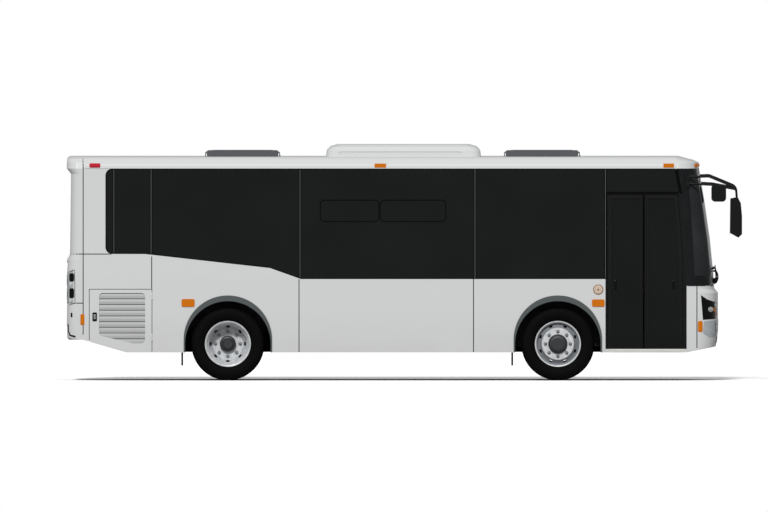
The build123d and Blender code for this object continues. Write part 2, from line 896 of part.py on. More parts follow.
# ---------------------------------------------------------------- axles, springs and knuckles

beam_half = 45
beam_z0 = 130
beam_z1 = 215
eye_r = 42
eye_half = 45
pin_r = 18
spring_y = front_box_y - 57
spring_r = 64
rear_spring_x = 420
rear_spring_r = 95
housing_r = 95


def front_axle():
    # dropped beam with an upright eye at each end for the kingpin
    arm = [(0, beam_z0), (600, beam_z0), (760, axle_z - 45), (kingpin_y, axle_z - 45)]
    arm += [(kingpin_y, axle_z + 45), (720, axle_z + 45), (590, beam_z1), (0, beam_z1)]
    half = along(arm, axle_front_x - beam_half, axle_front_x + beam_half)
    x = axle_front_x
    half -= block(x - 100, x + 100, kingpin_y - eye_r, 1200, 0, 1000)
    half += rod(eye_r, (x, kingpin_y, axle_z - eye_half), (x, kingpin_y, axle_z + eye_half))
    web_y = kingpin_y - eye_r - 2
    half += block(x - 30, x + 30, web_y, kingpin_y - 20, axle_z - eye_half, axle_z + eye_half)
    half -= rod(pin_r + run, (x, kingpin_y, 0), (x, kingpin_y, 1000))
    beam = half + other_side(half)
    link = [(0, beam_z0 + 20), (0, beam_z1), (-360, 340), (-360, rail_low_z)]
    link += [(-430, rail_low_z), (-430, 300)]
    for y in (-415, 415):
        beam += across([(x + dx, z) for dx, z in link], y - 25, y + 25)
    return beam


def rear_axle():
    x = axle_rear_x
    reach = rear_box_y
    axle = rod(housing_r, (x, -reach, axle_z), (x, reach, axle_z))
    axle += Pos(x, 0, axle_z) * Sphere(190)
    for side in (-1, 1):
        axle += rod(spindle_r, (x, side * (reach - 5), axle_z), (x, side * (track_half - 82), axle_z))
        y0, y1 = sorted((side * rail_y0, side * rail_y1))
        axle += block(x - rear_spring_x - 110, x + rear_spring_x + 110, y0, y1, axle_z - 90, axle_z - 20)
    return axle


def air_springs():
    springs = []
    for y in (-spring_y, spring_y):
        low = (axle_front_x, y, beam_z1)
        springs.append(rod(spring_r, low, (axle_front_x, y, floor_z - floor_t)))
    for dx in (-rear_spring_x, rear_spring_x):
        for y in (-415, 415):
            low = (axle_rear_x + dx, y, axle_z - 20)
            springs.append(rod(rear_spring_r, low, (axle_rear_x + dx, y, rear_rail_z0)))
    return together(springs)


def knuckle():
    # left knuckle: forked lugs over and under the eye, kingpin and wheel spindle
    x = axle_front_x
    y = kingpin_y
    reach = eye_half + 6
    body = rod(pin_r, (x, y, axle_z - reach - 24), (x, y, axle_z + reach + 24))
    for z in (axle_z - reach - 24, axle_z + reach):
        body += rod(eye_r, (x, y, z), (x, y, z + 24))
        body += block(x - 34, x + 34, y, y + eye_r + 24, z, z + 24)
    body += block(x - 34, x + 34, y + eye_r + 6, y + eye_r + 24, axle_z - reach - 24, axle_z + reach + 24)
    body += rod(spindle_r, (x, y + eye_r + 10, axle_z), (x, track_half + 95, axle_z))
    return body


save("front_axle", front_axle())
save("rear_axle", rear_axle())
save("air_springs", air_springs())
left_knuckle = knuckle()
save("knuckle_left", left_knuckle)
save("knuckle_right", other_side(left_knuckle))

# ---------------------------------------------------------------- wheels and tyres

disc_r = 207
disc_out = 100        # raised disc of the front wheel, outward of the tyre's middle
plate_t = 12
hand_holes = 8
hand_hole_l = 50
hand_hole_w = 27
# rim from its inner to its outer edge: offset from the middle, outer radius
rim_face = [
    (-rim_half, rim_r), (-rim_half + 9, rim_r), (-rim_half + 13, seat_r), (-55, seat_r - 2), (-35, well_r),
    (35, well_r), (60, seat_r - 2), (rim_half - 13, seat_r), (rim_half - 9, rim_r), (rim_half, rim_r),
]
rim_back = [(98, 277), (64, 273), (40, 252), (-35, 252), (-60, 273), (-98, 277), (-rim_half, rim_r - 8)]
rim_ring = rim_face + [(rim_half, rim_r - 8)] + rim_back


def turned(outline, x, y, side):
    # outline of (offset, radius) points spun round an axle; offset runs outward
    edge = Polyline(*[(x, y + side * dy, axle_z + r) for dy, r in outline], close=True)
    return revolve(make_face(edge), axis=Axis((x, y, axle_z), (0, 1, 0)))


def hand_hole(x, y, radius, turn):
    # slot through a wheel disc, long way round the axle
    slot = Rot(0, turn, 0) * (Pos(0, 0, radius) * Rot(90, 0, 0) * SlotOverall(hand_hole_l, hand_hole_w))
    return Pos(x, y, axle_z) * extrude(slot, amount=60, both=True)


def front_rim(side):
    x = axle_front_x
    y = side * track_half
    bore = spindle_r + run
    back = disc_out - plate_t
    disc = [
        (30, well_r), (46, well_r), (68, 232), (disc_out - 6, disc_r + 4), (disc_out, disc_r - 4),
        (disc_out, bore), (back, bore), (back, disc_r - 10), (56, 226), (34, 252), (18, well_r),
    ]
    hub = [(-20, bore), (-20, hub_r), (back + 1, hub_r), (back + 1, bore)]
    cap = [(disc_out - 1, cap_r), (disc_out + 34, cap_r - 8), (disc_out + 46, cap_r - 22)]
    cap += [(disc_out + 52, cap_r - 50), (disc_out + 52, 0.01)]
    cap += [(disc_out + 20, 0.01), (disc_out + 20, 60), (disc_out - 1, 60)]
    rim = turned(rim_ring, x, y, side) + turned(disc, x, y, side)
    rim += turned(hub, x, y, side)
    rim += turned(cap, x, y, side)
    for index in range(hand_holes):
        rim -= hand_hole(x, y + side * 50, 243, (index + 0.5) * 360 / hand_holes)
    return rim


def rear_rims(side):
    # outer and inner rim with their deep discs bolted back to back over the hub
    x = axle_rear_x
    outer_y = side * track_half
    inner_y = side * (track_half - twin_pitch)
    half = twin_pitch / 2
    disc = [
        (-20, 258), (-44, 258), (-62, 240), (-half + 2, 200), (-half + 2, 90), (-half - plate_t, 90),
        (-half - plate_t, 206), (-76, 246), (-36, 262),
    ]
    inner_disc = [
        (20, 258), (44, 258), (62, 240), (half - 2, 200), (half - 2, 90), (half + 3, 90),
        (half + 3, 206), (76, 246), (36, 262),
    ]
    hub_y = outer_y - side * half
    bore = spindle_r + run
    hub = [(-90, bore), (-90, hub_r), (48, hub_r), (60, hub_r - 12), (66, 74), (66, bore)]
    cap = [(65, 72), (84, 68), (92, 58), (92, 0.01), (80, 0.01), (80, 50), (65, 50)]
    rims = turned(rim_ring, x, outer_y, side) + turned(disc, x, outer_y, side)
    for index in range(hand_holes):
        rims -= hand_hole(x, outer_y - side * 100, 226, index * 360 / hand_holes)
    rims += turned([(-dy, r) for dy, r in rim_ring], x, inner_y, side)
    rims += turned(inner_disc, x, inner_y, side)
    rims += turned(hub, x, hub_y, side)
    rims += turned(cap, x, hub_y, side)
    return rims


def tyre(x, y):
    half = tyre_w / 2
    bead = rim_half - 14
    inner = seat_r + fit
    z = axle_z
    lip = [(bead + 15, 304), (bead, 302), (bead, inner)]
    shoulder = (half - 18, tyre_r - 18)
    foot = [(x, y - out, z + r) for out, r in lip]
    foot += [(x, y + out, z + r) for out, r in lip[::-1]]
    crest = (x, y, z + tyre_r)
    near = (x, y + shoulder[0], z + shoulder[1])
    far = (x, y - shoulder[0], z + shoulder[1])
    edges = [
        Polyline(*foot),
        ThreePointArc(foot[-1], (x, y + half, z + 392), near),
        ThreePointArc(near, crest, far),
        ThreePointArc(far, (x, y - half, z + 392), foot[0]),
    ]
    return revolve(make_face(edges), axis=Axis((x, y, axle_z), (0, 1, 0)))


for name, side in (("left", 1), ("right", -1)):
    save(f"front_rim_{name}", front_rim(side))
    save(f"front_tyre_{name}", tyre(axle_front_x, side * track_half))
    save(f"rear_rims_{name}", rear_rims(side))
    pair = [tyre(axle_rear_x, side * track_half), tyre(axle_rear_x, side * (track_half - twin_pitch))]
    save(f"rear_tyres_{name}", together(pair))

# ---------------------------------------------------------------- outside fittings

flap_t = 8
marker_t = 12


def arch_trims():
    # raised lip round each wheel opening, lying on the wall's flat lower part
    trims = []
    for x in (axle_front_x, axle_rear_x):
        ring = arch(trim_r, trim_lift, skirt_z) - arch(arch_r, 0)
        ring &= block(-700, 700, -body_half - trim_t, -body_half, skirt_z, waist_z)
        trims.append(Pos(x, 0, 0) * ring)
    return together(trims + [other_side(trim) for trim in trims])


def mud_flaps():
    flaps = []
    front = (axle_front_x, track_half - 135, floor_z - floor_t)
    rear = (axle_rear_x, track_half - 395, skirt_z + 90)
    for axle_x, y0, top in (front, rear):
        x = axle_x - arch_r - 40
        flaps.append(block(x, x + flap_t, y0, inner_half, 195, top))
    return together(flaps + [other_side(flap) for flap in flaps])


# small lamps on the sides: first and last x, lowest and highest z
side_lamps = [(-2913, -2744, 965, 1065), (2452, 2616, 967, 1060)]
roof_lamps = [(-390, -241), (3386, 3523)]


def amber_lamps():
    lamps = []
    for x0, x1, z0, z1 in side_lamps:
        lamps.append(rounded(x0, x1, z0, z1, 20, -body_half - marker_t, -body_half))
    for x0, x1 in roof_lamps:
        y = top_half + 6
        lamp = block(x0, x1, -y, 60 - y, cove_z + 13, cove_z + 65)
        lamps.append(lamp - extrude(roof_outline(0, x0 - 1), amount=x1 - x0 + 2, dir=(1, 0, 0)))
    return together(lamps + [other_side(lamp) for lamp in lamps])


mirror_out = 230       # how far the mirrors stand out from the sides
mirror_half = body_half + mirror_out
head_x = 4256
arm_r = 14


def mirrors():
    # right mirror: two bent arms from the body's corner, a tall head and a small look-down head
    foot_y = -top_half - 3
    knee_y = -top_half - 50
    tip_y = -mirror_half + 115
    upper = [(3700, foot_y, 2656), (3980, knee_y, 2668), (4335, tip_y, 2520), (4345, tip_y - 15, 2370)]
    lower = [(3700, foot_y, 2575), (4020, knee_y + 5, 2558), (4335, tip_y, 2500)]
    arm = bent_tube(arm_r, upper, 100)
    arm += bent_tube(arm_r, lower, 100)
    plate = block(3668, 3730, -top_half - 16, -top_half + 60, 2520, 2690)
    foot = (arm + plate) - nose_solid(screen_sections, 0)
    outline = [(head_x, 1930), (head_x + 5, 2360), (head_x + 100, 2378), (mirror_x - 16, 2300)]
    outline += [(mirror_x, 2130), (mirror_x, 1915), (head_x + 110, 1868)]
    head = across(outline, -mirror_half, -mirror_half + 225)
    small = rounded(4012, 4206, 2338, 2545, 50, tip_y + 5, tip_y + 120)
    return foot + head + small


wiper_x = 4080        # front ends of the wiper spindles
wiper_z = 1300
wiper_hub_r = 28
wiper_arm = [(4066, 1285), (4088, 1285), (4088, 1330), (4066, 1500), (4056, 1500), (4066, 1330)]


def wipers():
    sets = []
    mask_face = nose_solid(screen_sections, 0)
    for y in (-420, 420):
        hub = rod(wiper_hub_r, (wiper_x - 60, y, wiper_z), (wiper_x, y, wiper_z))
        arm = across(wiper_arm, y - 12, y + 12)
        sets.append((hub - mask_face) + arm)
    return together(sets)


def destination_sign():
    box = block(3500, 3770, -700, 700, 2450, 2700)
    for y in (-600, 560):
        box += block(3500, 3550, y, y + 40, 2700, roof_z - wall)
    return box


save("arch_trims", arch_trims())
save("mud_flaps", mud_flaps())
save("amber_lamps", amber_lamps())
right_mirror = mirrors()
save("mirrors", both_sides(right_mirror))
save("wipers", wipers())
save("destination_sign", destination_sign())

# ---------------------------------------------------------------- engine and cabin fittings

wheel_grip_r = 225
driver_y = body_half - 520
column_foot = (3630, driver_y, platform_z + 60)
column_top = (3450, driver_y, 1170)
desk_top_z = 1130
desk_low_z = 570
desk_back_x = 3655
boss_gap = fit


def dashboard():
    # desk following the nose in plan, hollowed for the driver's legs, on a low plinth
    wing = body_half - 70
    half = [(desk_back_x, wing), (3720, wing), (3860, wing - 70), (3915, wing - 220), (3970, 0)]
    outline = half + [(x, -y) for x, y in reversed(half[:-1])]
    edge = Polyline(*[(x, y, desk_low_z) for x, y in outline], close=True)
    desk = extrude(make_face(edge), amount=desk_top_z - desk_low_z, dir=(0, 0, 1))
    desk += block(desk_back_x, front_seam_x, -wing, wing, floor_z, desk_low_z)
    desk -= block(desk_back_x - 15, front_seam_x, platform_y, inner_half, 0, platform_z)
    legs_z = platform_z + 40
    legs = [(desk_back_x, legs_z), (desk_back_x, 980), (3850, 980), (3850, legs_z)]
    desk -= across(legs, driver_y - 220, driver_y + 220)
    desk += block(3590, 3670, driver_y - 45, driver_y + 45, platform_z, platform_z + 80)
    return desk + rod(38, column_foot, column_top)


def steering_wheel():
    foot = Vector(*column_foot)
    top = Vector(*column_top)
    line = (top - foot).normalized()
    base = Plane(origin=top + line * boss_gap, z_dir=line)
    wheel = base * extrude(Circle(55), amount=40)
    wheel += base * (Pos(0, 0, 40) * Torus(wheel_grip_r, 15))
    for turn in (0, 120, 240):
        spoke = Pos(wheel_grip_r / 2 + 15, 0, 32) * Box(wheel_grip_r - 30, 34, 14)
        wheel += base * (Rot(0, 0, turn) * spoke)
    return wheel


seat_w = 420
seat_pitch = 436      # across the bus, from seat to seat
seat_y = body_half - 275   # middle of a window seat
# seat rows: x of the foot, height it stands on, leg height, number of seats
seat_rows = [
    (-2960, deck_z, 385, 2), (axle_rear_x, axle_z + arch_r + box_t, 230, 1), (-1590, deck_z, 385, 2),
    (-650, floor_z, 385, 2), (150, floor_z, 385, 2), (950, floor_z, 385, 2),
]


def seat(x, y, z, leg):
    # one seat facing forward, the middle of its foot at (x, y, z)
    top = z + leg
    pan = [(-60, 0), (-200, 15), (-230, 665), (-180, 675), (-130, 85), (200, 95), (215, 35), (60, 0)]
    shape = [(x + dx, top + dz) for dx, dz in pan]
    shape += [(x + 60, z), (x - 60, z)]
    return across(shape, y - seat_w / 2, y + seat_w / 2)


def passenger_seats():
    seats = []
    for side in (-1, 1):
        for x, z, leg, count in seat_rows:
            for index in range(count):
                seats.append(seat(x, side * (seat_y - index * seat_pitch), z, leg))
    bench = [(60, 0), (60, 420), (560, 400), (640, 980), (700, 980), (700, 0)]
    bench = [(bench_x - back, bench_z + rise) for back, rise in bench]
    seats.append(across(bench, 120 - body_half, body_half - 120))
    return together(seats)


def driver_seat():
    # bucket seat on a pedestal
    pan_z = platform_z + 330
    seat = block(3010, 3230, driver_y - 100, driver_y + 100, platform_z, pan_z)
    shape = [(2900, 0), (3380, 0), (3390, 90), (3010, 80), (2950, 720), (2860, 720)]
    return seat + across([(x, pan_z + rise) for x, rise in shape], driver_y - 240, driver_y + 240)


def driver_screen():
    back_x = platform_x - screen_gap
    return block(back_x - screen_t, back_x, platform_y + 50, inner_half - 15, floor_z, screen_top_z)


pole_r = 16
pole_places = [(2500, -330), (1250, 330), (-300, 330), (-1340, 330), (-1340, -330), (1250, -700)]


def handrails():
    poles = [rod(pole_r, (x, y, floor_z), (x, y, roof_z - wall)) for x, y in pole_places]
    return together(poles)


def engine_block():
    block_x0 = rear_x + 130
    body = block(block_x0, -3420, -360, 360, 600, 1120)
    body += block(-3460, -2900, -190, 190, 400, 610)
    for y0 in (-rail_y0, 340):
        body += block(-4100, -3980, y0, y0 + 40, 640, 720)
    return body


def radiator():
    core = block(-4060, -3400, -inner_half + 60, -820, 500, 1120)
    return core + block(-4060, -3960, -820, -rail_y1, 640, 720)


save("dashboard", dashboard())
save("steering_wheel", steering_wheel())
save("passenger_seats", passenger_seats())
save("driver_seat", driver_seat())
save("driver_screen", driver_screen())
save("handrails", handrails())
save("engine_block", engine_block())
save("radiator", radiator())
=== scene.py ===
import math

import bmesh
import bpy
import numpy as np
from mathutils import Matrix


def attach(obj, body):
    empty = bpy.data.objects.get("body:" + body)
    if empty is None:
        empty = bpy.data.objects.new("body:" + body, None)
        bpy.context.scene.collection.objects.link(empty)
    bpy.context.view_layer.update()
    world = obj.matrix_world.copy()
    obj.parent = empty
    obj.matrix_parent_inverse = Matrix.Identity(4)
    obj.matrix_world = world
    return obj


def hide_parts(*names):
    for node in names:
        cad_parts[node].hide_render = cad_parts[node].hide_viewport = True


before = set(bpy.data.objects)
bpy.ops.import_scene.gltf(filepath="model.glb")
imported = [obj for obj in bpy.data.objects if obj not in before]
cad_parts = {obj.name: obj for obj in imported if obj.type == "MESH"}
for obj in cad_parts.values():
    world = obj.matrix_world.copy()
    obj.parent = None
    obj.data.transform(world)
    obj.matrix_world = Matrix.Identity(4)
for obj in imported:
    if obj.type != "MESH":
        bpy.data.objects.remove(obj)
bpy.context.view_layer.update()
mm = 0.001
fullTurn = 2 * math.pi

# places shared with the solids, in metres
bus = {
    "halfWidth": 1.220, "waistZ": 1.330, "coveZ": 2.771, "coveRadius": 0.150, "lean": 0.030,
    "frontAxleX": 2.006, "rearAxleX": -2.308, "axleZ": 0.478, "track": 1.035, "twinPitch": 0.310,
}


def linear(hexColour):
    # sRGB hex to the linear colour that a shader takes
    parts = [int(hexColour[i:i + 2], 16) / 255 for i in (1, 3, 5)]
    return tuple(c / 12.92 if c <= 0.04045 else ((c + 0.055) / 1.055) ** 2.4 for c in parts) + (1.0,)


def addNode(tree, kind, settings=None, links=None):
    # settings by attribute or socket name, stops as (position, hex), links as {input: (node, output)}
    node = tree.nodes.new(kind)
    for key, value in (settings or {}).items():
        if key == "stops":
            for stop, (position, colour) in zip(node.color_ramp.elements, value):
                stop.position = position
                stop.color = linear(colour)
        elif isinstance(key, str) and key in node.bl_rna.properties:
            setattr(node, key, value)
        else:
            node.inputs[key].default_value = value
    for key, (source, output) in (links or {}).items():
        tree.links.new(source.outputs[output], node.inputs[key])
    return node


def startMaterial(**shader):
    # a new material whose Principled shader gets plain values on its own sockets
    material = bpy.data.materials.new("finish")
    material.use_nodes = True
    for key, value in shader.items():
        material.node_tree.nodes["Principled BSDF"].inputs[key.replace("_", " ")].default_value = value
    return material, material.node_tree


def noiseOn(tree, millimetres, detail=3.0, stretch=(1, 1, 1)):
    # noise whose lumps are about this many millimetres across, on object coordinates
    place = addNode(tree, "ShaderNodeTexCoord")
    turn = addNode(tree, "ShaderNodeMapping", {"Scale": stretch}, {"Vector": (place, "Object")})
    settings = {"Scale": 1000 / millimetres, "Detail": detail, "Roughness": 0.55}
    return addNode(tree, "ShaderNodeTexNoise", settings, {"Vector": (turn, "Vector")}), "Fac"


def dress(tree, colour=None, roughness=None, relief=None):
    # what drives the Principled shader, each from a (node, output): colour through a ramp of (position, hex)
    # stops, roughness from one range to another, relief with its strength and its depth in millimetres
    shader = tree.nodes["Principled BSDF"].inputs
    if colour:
        source, *stops = colour
        ramp = addNode(tree, "ShaderNodeValToRGB", {"stops": stops}, {"Fac": source})
        tree.links.new(ramp.outputs["Color"], shader["Base Color"])
    if roughness:
        source, *ends = roughness
        spread = dict(zip(("From Min", "From Max", "To Min", "To Max"), ends))
        rough = addNode(tree, "ShaderNodeMapRange", spread, {"Value": source})
        tree.links.new(rough.outputs["Result"], shader["Roughness"])
    if relief:
        source, strength, depth = relief
        height = {"Strength": strength, "Distance": depth * mm}
        bump = addNode(tree, "ShaderNodeBump", height, {"Height": source})
        tree.links.new(bump.outputs["Normal"], shader["Normal"])


def grain(dark, light, size, bump, roughness, gloss=0.5, coat=0.0, metallic=0.0, detail=3.0,
          stretch=(1, 1, 1)):
    # plain solid surface: one noise of this size drifts the colour between two hexes and the roughness
    # with it, and stands up by the bump; size and bump are in millimetres
    material, tree = startMaterial(Specular_IOR_Level=gloss, Coat_Weight=coat, Metallic=metallic)
    noise = noiseOn(tree, size, detail, stretch)
    dress(tree, (noise, (0.3, dark), (0.7, light)), (noise, 0.3, 0.7, *roughness), (noise, 1.0, bump))
    return material


print("materials")


# two-pack coach enamel, sprayed: smooth, glossy, a faint orange peel and a film of road dust low down
def coachEnamel(top, dust, gloss, coat):
    material, tree = startMaterial(Specular_IOR_Level=gloss, Coat_Weight=coat, Coat_Roughness=0.08)
    place = addNode(tree, "ShaderNodeTexCoord")
    split = addNode(tree, "ShaderNodeSeparateXYZ", None, {"Vector": (place, "Object")})
    # the dust thins out from the skirt up to about a metre
    fall = {"From Min": 0.36, "From Max": 0.95, "To Min": 0.55, "To Max": 0.0}
    height = addNode(tree, "ShaderNodeMapRange", fall, {"Value": (split, "Z")})
    both = {0: (height, "Result"), 1: noiseOn(tree, 700, 4.0, (1, 1, 2.5))}
    amount = (addNode(tree, "ShaderNodeMath", {"operation": "MULTIPLY"}, both), "Value")
    colours = {"data_type": "RGBA", 6: linear(top), 7: linear(dust)}
    mix = addNode(tree, "ShaderNodeMix", colours, {0: amount})
    tree.links.new(mix.outputs[2], tree.nodes["Principled BSDF"].inputs["Base Color"])
    dress(tree, None, (amount, 0, 1, 0.28, 0.55), (noiseOn(tree, 6, 2.0), 0.25, 0.05))
    return material


# float glass: a film of dust drifts its colour and its roughness
def dustyGlass(tint, low, high, film, roughness, **shader):
    material, tree = startMaterial(**shader)
    dust = noiseOn(tree, *film)
    dress(tree, (dust, (low, tint[0]), (high, tint[1])), (dust, 0, 1, *roughness))
    return material


# privacy glass, tinted in the body: almost black, a mirror film that only shows at a slant
def privacyGlass(tint, sheen):
    return dustyGlass(tint, 0.25, 0.75, (900, 2.0), (0.03, 0.09), Specular_IOR_Level=sheen)


# laminated windscreen glass: clear with a smoke tint
def laminatedGlass(tint):
    clear = {"Transmission_Weight": 0.4, "IOR": 1.1, "Specular_IOR_Level": 0.1}
    return dustyGlass(tint, 0.3, 0.7, (400, 3.0), (0.0, 0.05), **clear)


# moulded lens acrylic: clear colour with fine prism ribs that catch the light
def lensAcrylic(colour, deep, ribMillimetres):
    material, tree = startMaterial(Roughness=0.45, Specular_IOR_Level=0.1)
    place = addNode(tree, "ShaderNodeTexCoord")
    bands = {"bands_direction": "X", "Scale": 1000 / ribMillimetres / 6.283 * 2}
    ribs = (addNode(tree, "ShaderNodeTexWave", bands, {"Vector": (place, "Object")}), "Fac")
    dress(tree, (ribs, (0.1, deep), (0.9, colour)), None, (ribs, 0.5, 1.0))
    return material


# seat moquette, woven wool pile: soft, matt, small woven flecks, 22 mm apart, on a plain ground
def moquette(ground, fleck):
    material, tree = startMaterial(Roughness=0.9, Sheen_Weight=0.35, Sheen_Roughness=0.4)
    place = addNode(tree, "ShaderNodeTexCoord")
    cells = addNode(tree, "ShaderNodeTexVoronoi", {"Scale": 1000 / 22}, {"Vector": (place, "Object")})
    dress(tree, ((cells, "Distance"), (0.16, fleck), (0.22, ground)), None, (noiseOn(tree, 3, 2.0), 0.6, 0.8))
    return material


# wheel alloy, turned on a lathe: bright with fine rings about the axle
def turnedAlloy(light, dark, axleX, roughness):
    material, tree = startMaterial(Metallic=0.2)
    place = addNode(tree, "ShaderNodeTexCoord")
    onAxle = {"Location": (-axleX, 0, -bus["axleZ"]), "Scale": (1, 0, 1)}
    centre = addNode(tree, "ShaderNodeMapping", onAxle, {"Vector": (place, "Object")})
    turning = {"wave_type": "RINGS", "rings_direction": "SPHERICAL", "Scale": 60.0, "Distortion": 0.4}
    rings = (addNode(tree, "ShaderNodeTexWave", turning, {"Vector": (centre, "Vector")}), "Fac")
    dirt = noiseOn(tree, 60, 4.0)
    dress(tree, (dirt, (0.3, dark), (0.62, light)), (rings, 0, 1, *roughness), (rings, 0.3, 0.1))
    return material


finishes = {
    "bodyEnamel": coachEnamel("#D3D4D4", "#BBBCBA", 0.3, 0.2),
    # the same enamel, weathered on the roof: the sun has taken its gloss
    "roofEnamel": coachEnamel("#D2D3D3", "#C4C5C3", 0.1, 0.0),
    # enamel on the louvres, darkened to grey as painted shade between the slats, and darker still low down
    # like the body's dust
    "louvrePaintedShade": coachEnamel("#A9AAAA", "#929391", 0.15, 0.0),
    # clear tail lamp cover over a pale grey bowl
    "tailCover": grain("#9EA2A4", "#AFB3B5", 40, 0.02, (0.15, 0.28), gloss=0.3),
    # acrylic-capped ABS, vacuum formed: deep gloss black
    "maskBlack": grain("#161718", "#1B1C1D", 300, 0.02, (0.18, 0.3), gloss=0.12),
    "sideGlass": privacyGlass(("#171818", "#1B1C1C"), 0.10),
    "doorGlass": privacyGlass(("#161717", "#1A1B1B"), 0.09),
    "screenGlass": laminatedGlass(("#35383A", "#404345")),
    # powder-coated aluminium section: satin black with a fine texture
    "frameBlack": grain("#121313", "#171818", 4, 0.05, (0.35, 0.5), gloss=0.1),
    # moulded tyre rubber: dull black, grey scuffs
    "tyreRubber": grain("#050505", "#0A0A0A", 35, 0.25, (0.62, 0.85), gloss=0.06),
    "frontAlloy": turnedAlloy("#DCDEDF", "#C3C6C8", bus["frontAxleX"], (0.32, 0.45)),
    "rearAlloy": turnedAlloy("#D3D5D7", "#B5B8BA", bus["rearAxleX"], (0.34, 0.48)),
    # the rim's dish, turned less fine than its face: dull grey, darker than the face as painted shade in the
    # hollow round the nuts' disc
    "rimDishShade": grain("#7C7F82", "#92959A", 12, 0.08, (0.5, 0.65), metallic=0.2),
    # hub cap, cast and painted dark grey: satin, slightly pitted
    "hubPaint": grain("#1E2022", "#282B2D", 8, 0.15, (0.4, 0.6)),
    # zinc-plated wheel nuts: grey metal, worn bright on the flats
    "nutZinc": grain("#7C8082", "#A9ACAE", 9, 0.05, (0.3, 0.5), metallic=0.8),
    # chassis black, dipped and baked: satin black with dust
    "chassisPaint": grain("#151617", "#232425", 60, 0.1, (0.45, 0.7)),
    # speckled safety vinyl, calendered: matt grey with mineral chips
    "floorVinyl": grain("#4C4F51", "#63676A", 5, 0.15, (0.55, 0.75), detail=6.0),
    "seatMoquette": moquette("#2B3F5E", "#5E7FA6"),
    # powder-coated steel tube: clear yellow, slight orange peel
    "railYellow": grain("#D39B18", "#DFAA2A", 12, 0.05, (0.3, 0.42), coat=0.2),
    # moulded grey polypropylene: matt, fine spark-eroded grain
    "trimGrey": grain("#4B5051", "#575C5D", 3, 0.12, (0.5, 0.68), gloss=0.2),
    # moulded polycarbonate over a grey bowl: pale and glossy
    "lampClear": grain("#7F8589", "#949A9E", 40, 0.02, (0.1, 0.2), gloss=0.3, coat=0.2),
    # fog lamp recess, painted silver grey: satin
    "recessGrey": grain("#9DA3A6", "#B0B6B9", 25, 0.05, (0.35, 0.5), gloss=0.2),
    "lampAmber": lensAcrylic("#DA7C0C", "#C26206", 9),
    "lampRed": lensAcrylic("#CC0A2C", "#A00622", 9),
    # slush-moulded dashboard skin: charcoal, leathery grain
    "dashSkin": grain("#26282A", "#34373A", 6, 0.25, (0.55, 0.75), detail=5.0),
    # sand-cast iron: rough, brown-grey
    "castIron": grain("#3C3D3E", "#55534F", 10, 0.6, (0.6, 0.8), metallic=0.4, detail=6.0),
    # extruded EPDM rubber: matt black
    "sealRubber": grain("#030303", "#070707", 15, 0.1, (0.6, 0.8), gloss=0.05),
    # polyurethane joint sealant, tooled flat: dull dark grey line
    "seamSealant": grain("#222528", "#303336", 30, 0.05, (0.5, 0.7), gloss=0.1),
    # mill-finish aluminium extrusion: pale, brushed lengthways
    "sillAluminium": grain("#CFCFC8", "#DEDED8", 20, 0.05, (0.3, 0.5), metallic=0.1, stretch=(0.05, 1, 1)),
    # hatch skin, thermoformed ABS: dark grey, satin, faint grain
    "hatchGrey": grain("#484B4F", "#55585C", 10, 0.08, (0.32, 0.5), gloss=0.35),
    # silvered mirror glass: a sharp, slightly cold reflection
    "mirrorGlass": grain("#9DA4A8", "#AAB1B5", 200, 0.0, (0.02, 0.05), metallic=1.0),
    # vacuum-metallised reflector bowl: bright, soft mirror
    "reflector": grain("#C8CCCF", "#DADDDF", 30, 0.02, (0.12, 0.22), metallic=0.9),
    # lamp housing, moulded black ABS under a clear lens: near black, glossy
    "lampBlack": grain("#050506", "#0A0A0B", 20, 0.03, (0.2, 0.3), gloss=0.15, coat=0.05),
    # cast bronze badge blank, lacquered: warm brown, soft shine
    "badgeBronze": grain("#8C6A50", "#A98365", 6, 0.1, (0.4, 0.55), metallic=0.2),
    # enamel fired into the badge: flat cream
    "badgeCream": grain("#D6C5B4", "#E0D1C1", 10, 0.05, (0.4, 0.55)),
    # pale grey: the fine line down each window gasket, a painted highlight on the black rubber
    "gasketGlint": grain("#66696A", "#737778", 15, 0.05, (0.5, 0.7)),
    # ribbed kick rubber, dull against the gloss of the door glass
    "kickRubber": grain("#0E0F0F", "#141515", 6, 0.2, (0.6, 0.8), gloss=0.1),
    # enamelled plate blank: plain off-white, satin
    "plateWhite": grain("#C9CBCB", "#D3D5D5", 60, 0.03, (0.3, 0.45)),
    # lamp lens over a dark bowl: deep red, prismatic
    "lampRedDark": lensAcrylic("#7E1018", "#4A0A10", 9),
    # blow-moulded polyethylene seat shell: mid grey, matt, orange-peel grain
    "seatShell": grain("#3B4046", "#474D53", 4, 0.12, (0.5, 0.68)),
    # sign glass over an unlit LED board: near black with a clear gloss
    "signFace": grain("#0D0E10", "#15161A", 8, 0.05, (0.1, 0.2), coat=0.5),
}
for name, material in finishes.items():
    material.name = name

